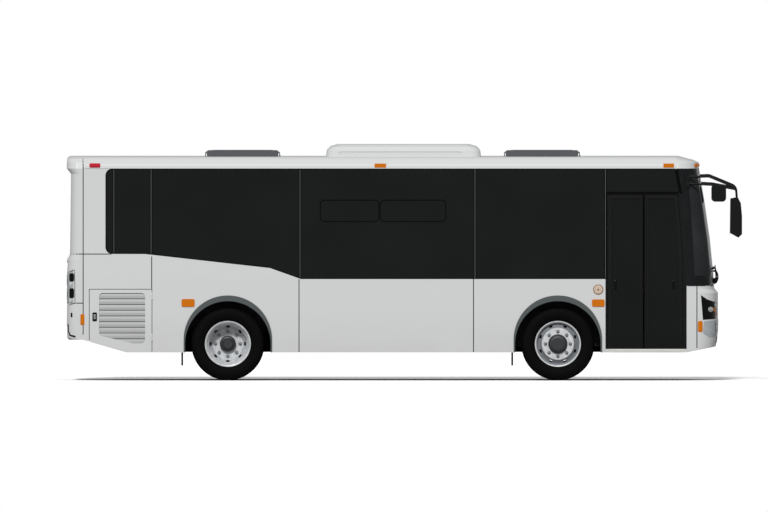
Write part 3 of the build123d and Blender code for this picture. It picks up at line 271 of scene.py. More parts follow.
wearers = {
    "bodyEnamel": ("right_wall", "left_wall", "rear_moulding", "rear_bumper", "front_fascia", "radiator_door",
                   "engine_door"),
    "roofEnamel": ("roof_shell", "roof_crown", "roof_pod"),
    "maskBlack": ("front_mask",),
    "screenGlass": ("windscreen",),
    "sideGlass": ("side_windows", "rear_window"),
    "doorGlass": ("door_glass_front", "door_glass_rear"),
    "frameBlack": ("door_frame", "door_leaf_front", "door_leaf_rear", "mirrors", "wipers"),
    "hatchGrey": ("roof_hatch_front", "roof_hatch_rear"),
    "floorVinyl": ("cabin_floor",),
    "chassisPaint": ("wheel_boxes", "cross_members", "rail_brackets", "front_horns", "chassis_frame",
                     "front_axle", "rear_axle", "knuckle_left", "knuckle_right", "radiator"),
    "frontAlloy": ("front_rim_left", "front_rim_right"),
    "rearAlloy": ("rear_rims_left", "rear_rims_right"),
    "tyreRubber": ("front_tyre_left", "front_tyre_right", "rear_tyres_left", "rear_tyres_right"),
    "sealRubber": ("air_springs", "mud_flaps"),
    "trimGrey": ("arch_trims",),
    "lampAmber": ("amber_lamps",),
    "tailCover": ("tail_lamps",),
    "lampBlack": ("headlamps",),
    "recessGrey": ("fog_lamps",),
    "signFace": ("destination_sign",),
    "dashSkin": ("dashboard", "steering_wheel"),
    "seatMoquette": ("passenger_seats", "driver_seat"),
    "lampClear": ("driver_screen",),
    "railYellow": ("handrails",),
    "castIron": ("engine_block",),
}
for finishName, nodeNames in wearers.items():
    for nodeName in nodeNames:
        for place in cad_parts[nodeName].material_slots:
            place.material = finishes[finishName]


def wallY(z):
    # half width of the side at height z: upright to the waist, then leaning in, then round the roof's cove
    z = np.asarray(z, float)
    lean = bus["lean"] * np.clip((z - bus["waistZ"]) / (bus["coveZ"] - bus["waistZ"]), 0, 1)
    rise = np.clip(z - bus["coveZ"], 0, bus["coveRadius"])
    return bus["halfWidth"] - lean - bus["coveRadius"] + np.sqrt(bus["coveRadius"] ** 2 - rise ** 2)


def gridFaces(rows, columns, closeRows, closeColumns):
    # quads of a rows x columns grid of points, joined end to start where it closes
    r = np.arange(rows if closeRows else rows - 1)
    c = np.arange(columns if closeColumns else columns - 1)
    r, c = np.meshgrid(r, c, indexing="ij")
    r2, c2 = (r + 1) % rows, (c + 1) % columns
    corners = [r * columns + c, r * columns + c2, r2 * columns + c2, r2 * columns + c]
    return np.stack(corners, -1).reshape(-1, 4)


def closedStack(loops, low, high):
    # loops of points joined into a wall, each end closed by a fan of triangles about a pole of its own
    rows, count = loops.shape[:2]
    c = np.arange(count)
    c2, last, pole = (c + 1) % count, (rows - 1) * count, np.full(count, rows * count)
    fans = [np.stack([c2, c, pole, pole], -1), np.stack([last + c, last + c2, pole + 1, pole + 1], -1)]
    faces = np.concatenate([gridFaces(rows, count, False, True)] + fans)
    return np.vstack([loops.reshape(-1, 3), low, high]), faces


def joinParts(parts):
    # several (points, faces) of one piece as one
    points, faces, start = [], [], 0
    for p, f in parts:
        points.append(p)
        faces.append(f + start)
        start += len(p)
    return np.concatenate(points), np.concatenate(faces)


def makePiece(name, parts, finish, body="root", slot=None, replaces=()):
    # a mesh object from (points, quads); equal corners of a quad are dropped, so poles close as triangles
    points, faces = joinParts(parts)
    keep = [tuple(dict.fromkeys(face)) for face in faces.tolist()]
    mesh = bpy.data.meshes.new(name)
    mesh.from_pydata(points.tolist(), [], [face for face in keep if len(face) > 2])
    mesh.validate()
    mesh.materials.append(finishes[finish])
    mesh.polygons.foreach_set("use_smooth", np.full(len(mesh.polygons), True))
    mesh.update()
    cleanUp(mesh)
    piece = bpy.data.objects.new(name, mesh)
    bpy.context.scene.collection.objects.link(piece)
    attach(piece, body)
    if replaces:
        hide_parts(*replaces)
    return piece


def cleanUp(mesh, degrees=38):
    # doubles merged, every closed shell turned to face outward, and edges sharper than this kept crisp
    work = bmesh.new()
    work.from_mesh(mesh)
    bmesh.ops.remove_doubles(work, verts=work.verts, dist=1e-6)
    bmesh.ops.recalc_face_normals(work, faces=work.faces)
    for edge in work.edges:
        if len(edge.link_faces) == 2 and edge.calc_face_angle(0) > math.radians(degrees):
            edge.smooth = False
    work.to_mesh(mesh)
    work.free()


def circleThrough(a, b, c):
    # centre and radius of the circle through three points of a plane, whose coordinates may be whole arrays
    (ax, ay), (bx, by), (cx, cy) = a, b, c
    d = 2 * (ax * (by - cy) + bx * (cy - ay) + cx * (ay - by))
    a2, b2, c2 = ax ** 2 + ay ** 2, bx ** 2 + by ** 2, cx ** 2 + cy ** 2
    x = (a2 * (by - cy) + b2 * (cy - ay) + c2 * (ay - by)) / d
    y = (a2 * (cx - bx) + b2 * (ax - cx) + c2 * (bx - ax)) / d
    return x, y, np.hypot(ax - x, ay - y)


def arcThrough(start, middle, end, count):
    # points along the circle through three points of a plane: centre plus radius times cos and sin
    x, y, radius = circleThrough(start, middle, end)
    angles = np.unwrap([math.atan2(v - y, u - x) for u, v in (start, middle, end)])
    t = np.linspace(angles[0], angles[-1], count)
    return np.stack([x + radius * np.cos(t), y + radius * np.sin(t)], -1)


def turnAbout(x, y, side, offset, radius, count):
    # profile of (offset outward, radius) carried round an axle along Y; radius may vary with the angle
    turn = np.linspace(0, fullTurn, count, endpoint=False)[:, None]
    offset = np.broadcast_to(offset, (count, offset.shape[-1]))
    radius = np.broadcast_to(radius, (count, radius.shape[-1]))
    rings = [x + radius * np.cos(turn), y + side * offset, bus["axleZ"] + radius * np.sin(turn)]
    return np.stack(rings, -1).reshape(-1, 3), gridFaces(count, offset.shape[-1], True, False)


def loopTube(path, profile, closed):
    # closed profile of (across, out) points carried along a path of points with frames (points, across, out)
    points, across, out = path
    ring = points[:, None] + across[:, None] * profile[None, :, :1] + out[:, None] * profile[None, :, 1:]
    if closed:
        return ring.reshape(-1, 3), gridFaces(*ring.shape[:2], True, True)
    return closedStack(ring, ring[0].mean(0), ring[-1].mean(0))


def tangentsOf(points, closed):
    # unit directions along a path, by the difference of each point's neighbours
    if closed:
        way = np.roll(points, -1, 0) - np.roll(points, 1, 0)
    else:
        way = np.gradient(points, axis=0)
    return way / np.linalg.norm(way, axis=1)[:, None]


def tube(points, radius, sides):
    # round section carried along a path: the frame is the path's direction crossed with a fixed up
    points = np.asarray(points, float)
    way = tangentsOf(points, False)
    up = np.where(np.abs(way[:, 2:]) > 0.9, [[1.0, 0, 0]], [[0, 0, 1.0]])
    across = np.cross(way, up)
    across /= np.linalg.norm(across, axis=1)[:, None]
    turn = np.linspace(0, fullTurn, sides, endpoint=False)
    section = radius * np.stack([np.cos(turn), np.sin(turn)], -1)
    return loopTube((points, across, np.cross(across, way)), section, False)


def smoothPath(points, count):
    # Catmull-Rom curve through the points
    p = np.asarray(points, float)
    p = np.vstack([2 * p[0] - p[1], p, 2 * p[-1] - p[-2]])
    t = np.linspace(0, 1, count, endpoint=False)[:, None]
    spans = []
    for i in range(len(p) - 3):
        a, b, c, d = p[i:i + 4]
        square, cube = 2 * a - 5 * b + 4 * c - d, 3 * b - a - 3 * c + d
        spans.append(0.5 * (2 * b + (c - a) * t + square * t ** 2 + cube * t ** 3))
    return np.vstack(spans + [p[-2][None]])


def roundedLoop(x0, x1, z0, z1, radius, perCorner=6):
    # rectangle with quarter-circle corners, anticlockwise, as (x, z) points
    left, right, low, high = x0 + radius, x1 - radius, z0 + radius, z1 - radius
    arcs = []
    for cx, cz, start in ((right, low, -90), (right, high, 0), (left, high, 90), (left, low, 180)):
        turn = np.radians(np.linspace(start, start + 90, perCorner))
        arcs.append(np.stack([cx + radius * np.cos(turn), cz + radius * np.sin(turn)], -1))
    return np.concatenate(arcs)


def dome(outline, base, normal, rings):
    # closed button: an outline loop shrunk towards its middle as it rises, rings = [(share, rise), ...]
    outline = np.asarray(outline, float)
    normal = np.asarray(normal, float)
    middle = outline.mean(0)
    levels = np.stack([middle + (outline - middle) * share + normal * rise for share, rise in rings])
    points, faces = closedStack(levels, middle + normal * rings[0][1], middle + normal * rings[-1][1])
    return points + base, faces


print("tyres")
tyre = {
    "radius": 0.478, "halfWidth": 0.1375, "bead": 0.091, "beadRadius": 0.304, "bulgeRadius": 0.392,
    "lipRadius": 0.2865, "lipReach": 0.015, "shoulder": 0.018,
    "grooves": (-0.078, -0.027, 0.027, 0.078), "grooveHalf": 0.006, "grooveDepth": 0.010,
    "blocks": 54, "blocksFrom": 0.092, "notchDepth": 0.005, "steps": 324,
    "ringHeight": 0.0012, "ringPitch": 0.034,
}


def tyreSurface(x, y, side):
    # sidewall and tread arcs turned round the axle; radius drops by a groove's bell at each groove and by a
    # square wave of the angle on the shoulders; the sidewall swells by small rings of cos(distance)
    top, bead, reach = tyre["radius"], tyre["beadRadius"], tyre["bead"] + tyre["lipReach"]
    edge = (tyre["halfWidth"] - tyre["shoulder"], top - tyre["shoulder"])
    wall = arcThrough((reach, bead), (tyre["halfWidth"], tyre["bulgeRadius"]), edge, 26)
    tread = arcThrough(edge, (0, top), (-edge[0], edge[1]), 61)[1:-1]
    back = wall[::-1] * (-1, 1)
    lip = np.array([(reach, bead), (tyre["bead"], bead - 0.004), (tyre["bead"], tyre["lipRadius"])])
    profile = np.concatenate([lip[::-1], wall[1:], tread, back[:-1], lip * (-1, 1)])
    offset, radius = profile.T
    turn = np.linspace(0, fullTurn, tyre["steps"], endpoint=False)[:, None]
    drop = np.zeros_like(radius)
    for place in tyre["grooves"]:
        bell = np.clip(1.6 - np.abs(offset - place) / tyre["grooveHalf"], 0, 1)
        drop = np.maximum(drop, bell * tyre["grooveDepth"])
    drop = np.where(radius > top - 0.016, drop, 0)[None]
    lug = np.clip(3 * np.sin(turn * tyre["blocks"]), 0, 1) * tyre["notchDepth"]
    drop = np.maximum(drop, lug * ((np.abs(offset) > tyre["blocksFrom"]) & (radius > top - 0.030))[None])
    onWall = (radius < top - 0.026) & (radius > bead + 0.004)
    wave = np.clip(np.cos((radius - 0.312) * fullTurn / tyre["ringPitch"]) - 0.6, 0, 1)
    rings = tyre["ringHeight"] * wave * onWall
    offset = offset - np.sign(offset) * (tyre["ringHeight"] * onWall - 2.2 * rings)
    return turnAbout(x, y, side, offset[None], radius[None] - drop, tyre["steps"])


for sideName, side in (("left", 1), ("right", -1)):
    front = tyreSurface(bus["frontAxleX"], side * bus["track"], side)
    makePiece(f"front_tyre_tread_{sideName}", [front], "tyreRubber", f"front_wheel_{sideName}", "tyre_black",
              replaces=(f"front_tyre_{sideName}",))
    twins = [side * (bus["track"] - shift) for shift in (0, bus["twinPitch"])]
    pair = [tyreSurface(bus["rearAxleX"], y, side) for y in twins]
    makePiece(f"rear_tyre_treads_{sideName}", pair, "tyreRubber", f"rear_wheels_{sideName}", "tyre_black",
              replaces=(f"rear_tyres_{sideName}",))

print("wheel nuts")
nut = {"count": 8, "circle": 0.162, "across": 0.017, "height": 0.026, "washer": 0.024, "frontFace": 0.100,
       "rearFace": 0.003}


def ringOf(radius, count, sides, phase=0.0):
    # outline points of a regular polygon, blended towards its circle by the count of sides
    turn = np.linspace(0, fullTurn, count, endpoint=False)
    flat = math.cos(math.pi / sides) / np.cos((turn + phase) % (fullTurn / sides) - math.pi / sides)
    return np.stack([radius * flat * np.cos(turn), np.zeros(count), radius * flat * np.sin(turn)], -1)


def wheelNuts(x, face, side):
    # nuts on a bolt circle: washer disc, hexagon with rounded crown and a stud's end
    parts, top, out = [], nut["height"], (0, side, 0)
    crown = [(1, 0.004), (1, top - 0.006), (0.93, top - 0.002), (0.8, top), (0.55, top)]
    for index in range(nut["count"]):
        turn = fullTurn * (index + 0.5) / nut["count"] - math.pi / nut["count"]
        place = (x + nut["circle"] * math.cos(turn), face, bus["axleZ"] + nut["circle"] * math.sin(turn))
        washer, stud = ringOf(nut["washer"], 24, 360), ringOf(nut["across"] * 0.5, 18, 360)
        parts.append(dome(washer, place, out, [(1, -0.002), (1, 0.003), (0.94, 0.005), (0.6, 0.005)]))
        parts.append(dome(ringOf(nut["across"], 36, 6, turn), place, out, crown))
        parts.append(dome(stud, place, out, [(1, 0.01), (1, top + 0.006), (0.8, top + 0.009)]))
    return parts


for sideName, side in (("left", 1), ("right", -1)):
    nuts = wheelNuts(bus["frontAxleX"], side * (bus["track"] + nut["frontFace"]), side)
    makePiece(f"front_wheel_nuts_{sideName}", nuts, "nutZinc", f"front_wheel_{sideName}", "rim_silver")
    nuts = wheelNuts(bus["rearAxleX"], side * (bus["track"] - bus["twinPitch"] / 2 + nut["rearFace"]), side)
    makePiece(f"rear_wheel_nuts_{sideName}", nuts, "nutZinc", f"rear_wheels_{sideName}", "rim_silver")


def refinish(node, finish, chosen):
    # the faces whose centre and normal satisfy the test take another finish
    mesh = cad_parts[node].data
    mesh.materials.append(finishes[finish])
    rows = []
    for field in ("center", "normal"):
        values = np.empty(len(mesh.polygons) * 3)
        mesh.polygons.foreach_get(field, values)
        rows.append(values.reshape(-1, 3))
    index = np.empty(len(mesh.polygons), np.int32)
    mesh.polygons.foreach_get("material_index", index)
    index[chosen(*rows)] = len(mesh.materials) - 1
    mesh.polygons.foreach_set("material_index", index)


def between(axleX, low, high):
    # faces whose distance from the axle lies between two radii
    def chosen(centres, normals):
        radial = np.hypot(centres[:, 0] - axleX, centres[:, 2] - bus["axleZ"])
        return (radial >= low) & (radial < high)
    return chosen


repaint = {"frontCap": (0, 0.130), "frontDish": (0.214, 0.284), "rearCap": (0, 0.106),
           "louvreX": (-3.995, -3.355), "louvreZ": (0.45, 1.155), "tailRoof": 2.700}


def louvreFaces(centres, normals):
    x, z = centres[:, 0], centres[:, 2]
    (x0, x1), (z0, z1) = repaint["louvreX"], repaint["louvreZ"]
    return (x > x0) & (x < x1) & (z > z0) & (z < z1) & (np.abs(normals[:, 2]) > 0.05)


# hub caps are painted; the front rims' dishes are duller than their faces and the louvres than the door round
# them, and both are painted a darker grey as painted shade; the roof's duller enamel goes on over the tail
for sideName in ("left", "right"):
    refinish(f"front_rim_{sideName}", "hubPaint", between(bus["frontAxleX"], *repaint["frontCap"]))
    # the dish's darker grey is painted shade
    refinish(f"front_rim_{sideName}", "rimDishShade", between(bus["frontAxleX"], *repaint["frontDish"]))
    refinish(f"rear_rims_{sideName}", "hubPaint", between(bus["rearAxleX"], *repaint["rearCap"]))
# the louvres' darker grey is painted shade
refinish("radiator_door", "louvrePaintedShade", louvreFaces)
refinish("rear_moulding", "roofEnamel", lambda centres, normals: centres[:, 2] > repaint["tailRoof"])

# the body's skin beyond the flat walls: by height, the tail's rearmost x
tailHeights, tailBack = np.array([
    (0.530, -4.384), (0.560, -4.410), (1.009, -4.410), (1.013, -4.410), (1.399, -4.410), (1.575, -4.397),
    (1.640, -4.371), (2.700, -4.358), (2.771, -4.414), (2.850, -4.412), (2.900, -4.402), (2.921, -4.368),
]).T
# and the nose's foremost x, the length of its corner, and the bow of its middle
noseHeights, noseTip, noseCorner, noseBow = np.array([
    (0.366, 4.060, 0.285, 0.032), (0.529, 4.086, 0.285, 0.032), (0.621, 4.099, 0.285, 0.032),
    (1.144, 4.099, 0.285, 0.032), (1.196, 4.052, 0.280, 0.032), (1.238, 4.046, 0.280, 0.032),
    (1.444, 4.033, 0.280, 0.032), (1.836, 3.994, 0.280, 0.032), (2.294, 3.929, 0.270, 0.032),
    (2.771, 3.850, 0.260, 0.032), (2.843, 3.846, 0.260, 0.032), (2.878, 3.770, 0.205, 0.030),
    (2.906, 3.650, 0.100, 0.022), (2.921, 3.590, 0.020, 0.010),
]).T
underSkin = 0.002  # how deep beads and buttons sit in the skin that carries them
ends = {"tailRadius": 0.140, "cornerWidth": 0.260, "cornerAlong": 0.74, "cornerAcross": 0.70}


def noseCircle(z):
    # the nose's corner arc at height z: the circle through its two ends and a point between them
    tip, corner, bow = (np.interp(z, noseHeights, row) for row in (noseTip, noseCorner, noseBow))
    ax, ay = tip - corner, wallY(z)
    cx, cy = tip - bow, ay - ends["cornerWidth"]
    along, across = ends["cornerAlong"], ends["cornerAcross"]
    point = (ax + along * (cx - ax), cy + across * (ay - cy))
    return *circleThrough((ax, ay), point, (cx, cy)), ax, cy, tip, bow


def sideY(x, z):
    # half width at (x, z): the wall, less the tail's quarter round or the nose's corner arc
    x, z = np.broadcast_arrays(np.asarray(x, float), np.asarray(z, float))
    radius = ends["tailRadius"]
    past = np.clip(np.interp(z, tailHeights, tailBack) + radius - x, 0, radius)
    wall = wallY(z) - radius + np.sqrt(radius ** 2 - past ** 2)
    cx, cy, radius, begin, *_ = noseCircle(z)
    corner = cy + np.sqrt(np.clip(radius ** 2 - (x - cx) ** 2, 0, None))
    return np.where(x > begin, corner, wall)


def frontX(y, z):
    # foremost x at (y, z): a shallow arc across the middle, the corner arc beyond it
    y = np.abs(y)
    cx, cy, radius, begin, width, tip, bow = noseCircle(z)
    across = (width ** 2 + bow ** 2) / (2 * bow)
    middle = tip - across + np.sqrt(across ** 2 - np.minimum(y, width) ** 2)
    corner = cx + np.sqrt(np.clip(radius ** 2 - (y - cy) ** 2, 0, None))
    return np.where(y > width, corner, middle)


def rearX(y, z):
    # rearmost x at (y, z): flat across the middle, a quarter round at the corners
    radius = ends["tailRadius"]
    over = np.clip(np.abs(y) - (wallY(z) - radius), 0, radius)
    return np.interp(z, tailHeights, tailBack) + radius - np.sqrt(radius ** 2 - over ** 2)


def skinOf(depth, place, side):
    # surface from a depth function of two coordinates: its points and outward normals by central differences
    def surface(uv):
        u, v = np.asarray(uv, float).T
        e = 1e-4
        du = (depth(u + e, v) - depth(u - e, v)) / (2 * e)
        dv = (depth(u, v + e) - depth(u, v - e)) / (2 * e)
        points = place(u, v, side * depth(u, v) if side else depth(u, v))
        normals = place(-du, -dv, np.full(len(u), side) if side else np.ones(len(u)))
        return points, normals / np.linalg.norm(normals, axis=1)[:, None]
    return surface


def sidePlace(u, v, d):
    return np.stack([u, d, v], -1)


def endPlace(u, v, d):
    return np.stack([d, u, v], -1)


rightSide = skinOf(sideY, sidePlace, -1)
leftSide = skinOf(sideY, sidePlace, 1)
frontEnd = skinOf(frontX, endPlace, 0)


def rearEnd(uv):
    # the tail's skin, its normals turned to the rear
    points, normals = skinOf(rearX, endPlace, 0)(uv)
    return points, normals * (-1, -1, -1)


def dense(line, step=0.04):
    # a polyline with points added so that none is more than a step from the next
    line = np.asarray(line, float)
    runs = []
    for a, b in zip(line, line[1:]):
        count = max(1, math.ceil(np.linalg.norm(b - a) / step))
        runs.append(a + (b - a) * np.linspace(0, 1, count, endpoint=False)[:, None])
    return np.vstack(runs + [line[-1:]])


def strip(where, line, width, rise, closed):
    # bead along a line on a skin: width across, rise proud, with chamfered edges
    line = dense(np.vstack([line, line[:1]]))[:-1] if closed else dense(line)
    points, out = where(line)
    across = np.cross(out, tangentsOf(points, closed))
    across /= np.linalg.norm(across, axis=1)[:, None]
    h = width / 2
    e = min(rise, h) * 0.5
    half = [(h - e, rise), (h, rise - e), (h, -underSkin)]
    profile = np.array([(-x, y) for x, y in half[::-1]] + half)
    return loopTube((points, across, out), profile, closed)


def raised(where, loop, rise, bevel, crown=0.0):
    # button on a skin: a loop of (u, v) goes up, rounds over by a quarter circle and closes towards its
    # middle, which stands higher by the crown times 1 - share squared
    loop = np.asarray(loop, float)
    middle = loop.mean(0)
    size = np.ptp(loop, axis=0).min() / 2
    levels = [(1.0, -underSkin)]
    for turn in np.linspace(0, math.pi / 2, 5):
        levels.append((1 - bevel / size * (1 - math.cos(turn)), rise - bevel + bevel * math.sin(turn)))
    last = levels[-1][0]
    levels += [(last * share, rise + crown * (1 - share ** 2)) for share in (0.8, 0.6, 0.4, 0.2)]
    rings = []
    for share, height in levels:
        points, out = where(middle + (loop - middle) * share)
        rings.append(points + out * height)
    base, out = where(middle[None])
    return closedStack(np.stack(rings), base - out * underSkin, base + out * (rise + crown))


def disc(x, z, radius, count=32):
    turn = np.linspace(0, fullTurn, count, endpoint=False)
    return np.stack([x + radius * np.cos(turn), z + radius * np.sin(turn)], -1)


def slab(outline, direction, depth, bevel=0.0):
    # flat outline in space made thick along a direction, with its edges drawn in by the bevel
    outline = np.asarray(outline, float)
    size = np.ptp(outline, axis=0)
    small = 1 - bevel / (size[size > 1e-6].min() / 2)
    levels = [(small, 0), (1, bevel), (1, depth - bevel), (small, depth)] if bevel else [(1, 0), (1, depth)]
    return dome(outline, np.zeros(3), direction, levels)


def upright(x0, x1, y, z0, z1, way, depth, bevel=0.0):
    # rectangle standing along the bus at y, made thick across it
    return slab([(x0, y, z0), (x1, y, z0), (x1, y, z1), (x0, y, z1)], (0, way, 0), depth, bevel)


def level(x0, x1, y0, y1, z, depth, bevel=0.0):
    # rectangle lying at z, made thick upward
    return slab([(x0, y0, z), (x1, y0, z), (x1, y1, z), (x0, y1, z)], (0, 0, 1), depth, bevel)


def onSide(side, low, high):
    # a span across the bus, on the right (-1) or the left (1)
    return sorted((side * low, side * high))


skins = {
    "right": [(1, rightSide)], "left": [(1, leftSide)], "sides": [(1, rightSide), (1, leftSide)],
    "nose": [(1, frontEnd)], "nosePair": [(-1, frontEnd), (1, frontEnd)],
    "tail": [(1, rearEnd)], "tailPair": [(-1, rearEnd), (1, rearEnd)],
}


def lay(where, kind, shape, *numbers):
    # a bead (width, rise) or a button (rise, bevel, crown) on each skin that the place names, a pair mirrored
    # across the bus; its shape is a list of points, a disc (x, z, radius, points) or a rounded box (from, to,
    # bottom, top, corner), with y in place of x on the nose and the tail
    closed = isinstance(shape, tuple)
    if closed:
        shape = disc(*shape) if len(shape) < 5 else roundedLoop(*shape)
    for side, skin in skins[where]:
        outline = np.array(shape) * (side, 1)
        if kind == "bead":
            yield strip(skin, outline, *numbers, closed)
        else:
            yield raised(skin, outline, *numbers)


def addDetails(pieces):
    # each piece as (finish, slot, body, rows for lay)
    for name, (finish, slot, body, *rows) in pieces.items():
        makePiece(name, [part for row in rows for part in lay(*row)], finish, body, slot)


print("seams and gaskets")
seam = {
    "section": (0.012, 0.0012),
    "sides": [
        [(-4.200, 0.600), (-4.200, 2.900)], [(-4.362, 1.653), (-3.830, 1.653)],
        [(-3.304, 1.200), (-3.304, 1.622)], [(-1.378, 0.372), (-1.378, 1.325)],
        [(0.903, 0.372), (0.903, 1.325)], [(-4.395, 1.011), (-4.204, 1.011)],
        [(3.824, 0.425), (3.824, 1.236)], [(3.700, 1.238), (4.040, 1.238)],
    ],
    "tail": [[(-1.07, 1.653), (1.07, 1.653)], [(-1.07, 1.011), (1.07, 1.011)]],
}
rows = [(where, "bead", line, *seam["section"]) for where in ("sides", "tail") for line in seam[where]]
addDetails({"body_seams": ("seamSealant", "frame_black", "root", *rows)})

# the window band's outline, the places where one pane meets the next, and the sections of what runs there
band = {
    "top": 2.764, "rearX": -3.903, "rearZ": 1.660, "frontX": 3.545, "corner": 0.085,
    "lower": [(-3.903, 1.660), (-3.390, 1.660), (-1.757, 1.477), (-1.351, 1.333), (2.628, 1.333)],
    "panes": [-3.798, -3.312, -1.365, 0.923, 2.628],
    "edge": (0.013, 0.0022), "gasket": (0.030, 0.0022), "bead": (0.006, 0.0032),
}


def bandCorner(z, upper):
    # quarter of a circle at the band's rear end, above or below its centre
    x = band["rearX"] + band["corner"]
    ring = disc(x, z, band["corner"], 25)
    keep = (ring[:, 0] <= x) & ((ring[:, 1] >= z) == upper)
    return sorted(ring[keep].tolist(), reverse=upper)


# gasket round the whole band, wide ones over the gaps between panes, each with a fine pale line on it as a
# painted highlight
edge = [(band["frontX"], band["top"])] + bandCorner(band["top"] - band["corner"], True)
edge += bandCorner(band["rearZ"] + band["corner"], False) + band["lower"][1:]
gaskets, glints = [("sides", "bead", edge, *band["edge"])], []
for x in band["panes"]:
    line = [(x, np.interp(x, *np.array(band["lower"]).T) + 0.010), (x, band["top"] - 0.008)]
    gaskets.append(("sides", "bead", line, *band["gasket"]))
    glints.append(("sides", "bead", line, *band["bead"]))
# the pillar behind the driver's pane, the header panel's own edge, and the black border round the doorway
gaskets += [
    ("left", "bead", [(2.645, 1.334), (2.645, 2.764)], 0.056, 0.0024),
    ("right", "bead", [(2.634, 2.452), (3.590, 2.452)], 0.030, 0.0022),
    ("right", "bead", [(3.613, 2.440), (3.552, 2.764)], 0.040, 0.0022),
    ("right", "bead", [(2.632, 1.333), (2.632, 2.452)], 0.030, 0.0022),
]
addDetails({
    "window_gaskets": ("sealRubber", "frame_black", "root", *gaskets),
    "gasket_glints": ("gasketGlint", "trim_grey", "root", *glints),
    # opening vents in the middle pane: two slim rounded frames side by side, and the same across the bus
    "vent_frames": (
        "sealRubber", "frame_black", "root",
        ("sides", "bead", (-1.100, -0.335, 2.080, 2.357, 0.045), 0.012, 0.003),
        ("sides", "bead", (-0.315, 0.540, 2.080, 2.357, 0.045), 0.012, 0.003)),
})

print("lamps, badge and latch")
badge = (2.534, 1.189)
addDetails({
    "amber_markers": (
        "lampAmber", "lamp_amber", "root",
        ("sides", "button", (3.792, 3.838, 2.786, 2.832, 0.010), 0.010, 0.005),
        ("sides", "button", (3.837, 3.898, 0.634, 0.778, 0.018), 0.008, 0.005),
        ("sides", "button", (-4.236, -4.184, 0.725, 0.869, 0.016), 0.008, 0.005),
        ("nosePair", "button", (0.290, 0.390, 2.790, 2.826, 0.010), 0.010, 0.005),
        ("nose", "button", (-0.050, 0.050, 2.790, 2.826, 0.010), 0.010, 0.005)),
    "red_markers": (
        "lampRed", "lamp_red", "root",
        ("sides", "button", (-4.118, -3.976, 2.784, 2.836, 0.012), 0.012, 0.006),
        ("tailPair", "button", (0.280, 0.400, 2.786, 2.830, 0.010), 0.0006, 0.0004),
        ("tail", "button", (-0.060, 0.060, 2.786, 2.830, 0.010), 0.0006, 0.0004),
        ("tailPair", "button", (0.680, 0.840, 0.700, 0.748, 0.020), 0.003, 0.002)),
    "badge_ring": (
        "badgeBronze", "trim_grey", "root", ("right", "button", (*badge, 0.067, 48), 0.007, 0.004)),
    "badge_face": (
        "badgeCream", "trim_grey", "root", ("right", "button", (*badge, 0.052, 48), 0.0085, 0.002)),
    "badge_relief": (
        "badgeBronze", "trim_grey", "root",
        ("right", "bead", (*badge, 0.034, 40), 0.006, 0.0098),
        ("right", "button", (*badge, 0.017, 32), 0.0115, 0.003)),
    "radiator_latch": (
        "lampBlack", "frame_black", "radiator_flap",
        ("right", "button", (-4.079, -4.019, 0.774, 0.890, 0.012), 0.006, 0.003)),
    "radiator_latch_pull": (
        "nutZinc", "rim_silver", "radiator_flap",
        ("right", "button", (-4.066, -4.032, 0.800, 0.864, 0.010), 0.0085, 0.002)),
})

print("entrance")
# each leaf: from, to, the line of its seal, its pull's from and to
doors = {"front": (3.1385, 3.635, 3.1525, 3.502, 3.528), "rear": (2.6615, 3.1195, 3.1055, 2.746, 2.772)}
for name, (x0, x1, seal, pull0, pull1) in doors.items():
    addDetails({
        f"door_seal_{name}": (
            "kickRubber", "rubber_black", f"door_{name}",
            ("right", "bead", [(seal, 0.425), (seal, 2.415)], 0.020, 0.004)),
        f"door_kick_plate_{name}": (
            "kickRubber", "frame_black", f"door_{name}",
            ("right", "button", (x0 + 0.030, x1 - 0.030, 0.440, 0.640, 0.012), 0.0025, 0.0015)),
        f"door_pull_{name}": (
            "lampBlack", "frame_black", f"door_{name}",
            ("right", "button", (pull0, pull1, 1.196, 1.320, 0.0125), 0.012, 0.008)),
    })
ribs = [("right", "bead", [(2.700, z), (3.648, z)], 0.004, 0.0045) for z in (0.380, 0.389, 0.398)]
addDetails({
    "entrance_sill": (
        "sillAluminium", "trim_grey", "root",
        ("right", "button", (2.687, 3.661, 0.368, 0.410, 0.006), 0.003, 0.0015)),
    "entrance_sill_ribs": ("sillAluminium", "trim_grey", "root", *ribs),
})

